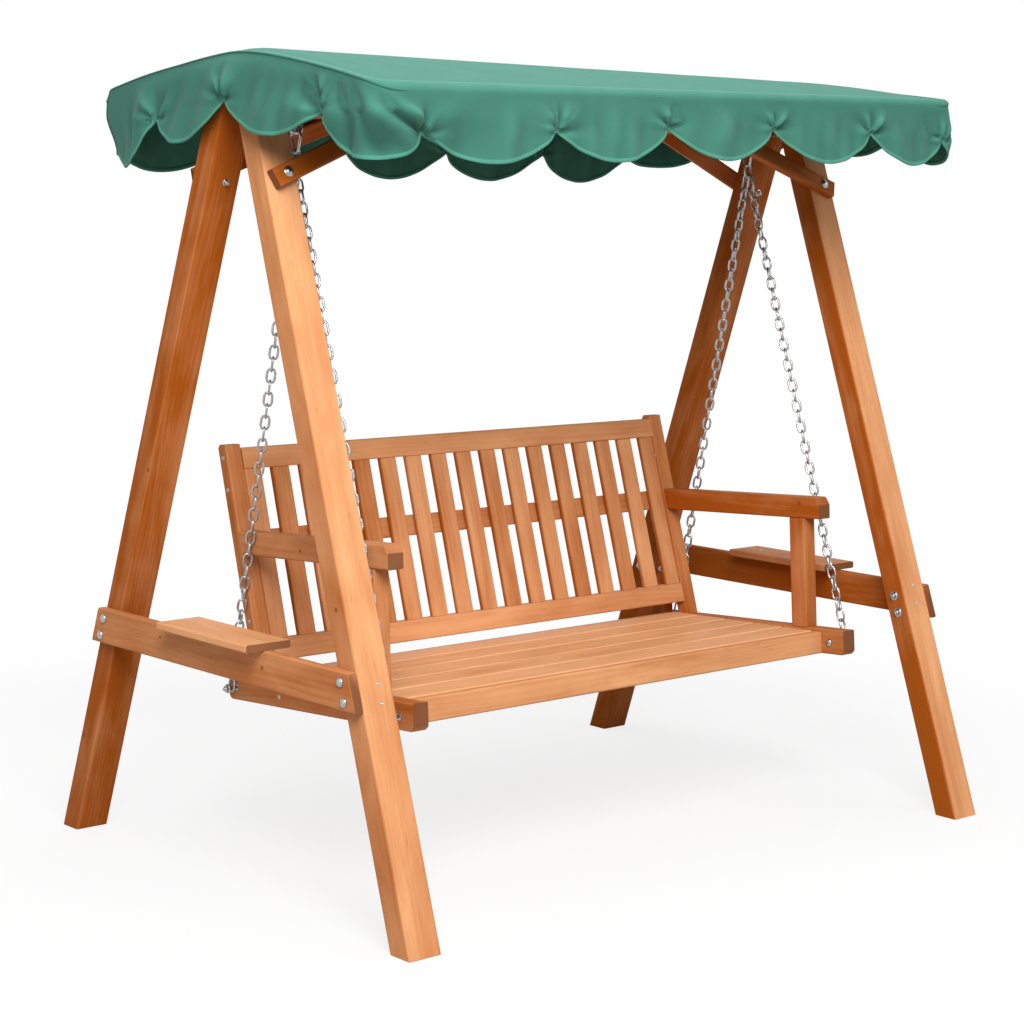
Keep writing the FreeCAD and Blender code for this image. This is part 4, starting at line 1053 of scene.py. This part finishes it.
def placed(basis, place):
    matrix = np.eye(4)
    matrix[:3, :3], matrix[:3, 3] = basis, place
    return Matrix(matrix)


def cameraMatrix():
    look = stageLook
    yaw, pitch, roll = look["yaw"], look["pitch"], look["roll"]
    ahead = np.array([math.sin(yaw) * math.cos(pitch), math.cos(yaw) * math.cos(pitch), -math.sin(pitch)])
    right = unit(np.cross(ahead, [0, 0, 1]))
    up = np.cross(right, ahead)
    turnedRight = math.cos(roll) * right + math.sin(roll) * up
    turnedUp = math.cos(roll) * up - math.sin(roll) * right
    return placed(np.stack([turnedRight, turnedUp, -ahead], -1), look["camera"])


camera = addObject("camera", bpy.data.cameras.new("camera"))
camera.matrix_world = cameraMatrix()
camera.data.sensor_width = stageLook["sensor"]
camera.data.lens = stageLook["lens"]
camera.data.shift_y = stageLook["shift"]
bpy.context.scene.camera = camera

for number, (place, aim, width, watts) in enumerate(stageLook["lamps"]):
    light = bpy.data.lights.new(f"lamp_{number}", "AREA")
    light.shape = "DISK"
    light.size = width
    light.energy = watts
    lamp = addObject(light.name, light)
    lamp.matrix_world = placed(basesAlong([np.subtract(place, aim)])[0], place)


# seen directly, in metal or through glass the background is plain white
def seenShare(tree):
    path = put(tree, "LightPath").outputs
    seen = sums(tree, "MAXIMUM", path["Is Camera Ray"], path["Is Glossy Ray"])
    return sums(tree, "MAXIMUM", seen, path["Is Transmission Ray"])


# seen, the floor is white with the object's shadow, which fades with distance;
# it is less white where it only bounces light
def floorFinish():
    look = stageLook
    material, tree = newMaterial("pale_floor")[:2]
    tree.nodes.clear()
    seen = seenShare(tree)
    tints = [(look[key], look[key], look[key], 1.0) for key in ("floorBounce", "floorSeen")]
    matt = put(tree, "BsdfDiffuse", {"Color": mixed(tree, seen, *tints)})
    glow = put(tree, "Emission", {"Color": (1.0, 1.0, 1.0, 1.0), "Strength": 1.0})
    place = put(tree, "TexCoord").outputs["Object"]
    away = put(tree, "VectorMath", {0: place}, operation="LENGTH").outputs["Value"]
    white = ranged(tree, away, (look["shadowFrom"], look["shadowTo"]), (1 - look["shadowShare"], 1.0),
                   interpolation_type="SMOOTHSTEP")
    share = sums(tree, "MULTIPLY", seen, white)
    both = put(tree, "MixShader", {0: share, 1: matt.outputs[0], 2: glow.outputs[0]})
    put(tree, "OutputMaterial", {0: both.outputs[0]})
    return material


mesh = bpy.data.meshes.new("floor")
half = stageLook["floorHalf"]
corners = [(-half, -half, 0), (half, -half, 0), (half, half, 0), (-half, half, 0)]
mesh.from_pydata(corners, [], [(0, 1, 2, 3)])
mesh.materials.append(floorFinish())
floor = addObject("floor", mesh)

world = bpy.data.worlds.new("studio")
bpy.context.scene.world = world
world.use_nodes = True
tree = world.node_tree
background = tree.nodes["Background"]
background.inputs["Color"].default_value = (1.0, 1.0, 1.0, 1.0)
fill = stageLook["worldFill"]
tree.links.new(plus(tree, fill, seenShare(tree), 1 - fill), background.inputs["Strength"])
bpy.context.scene.view_settings.view_transform = "Standard"
print("stage set")
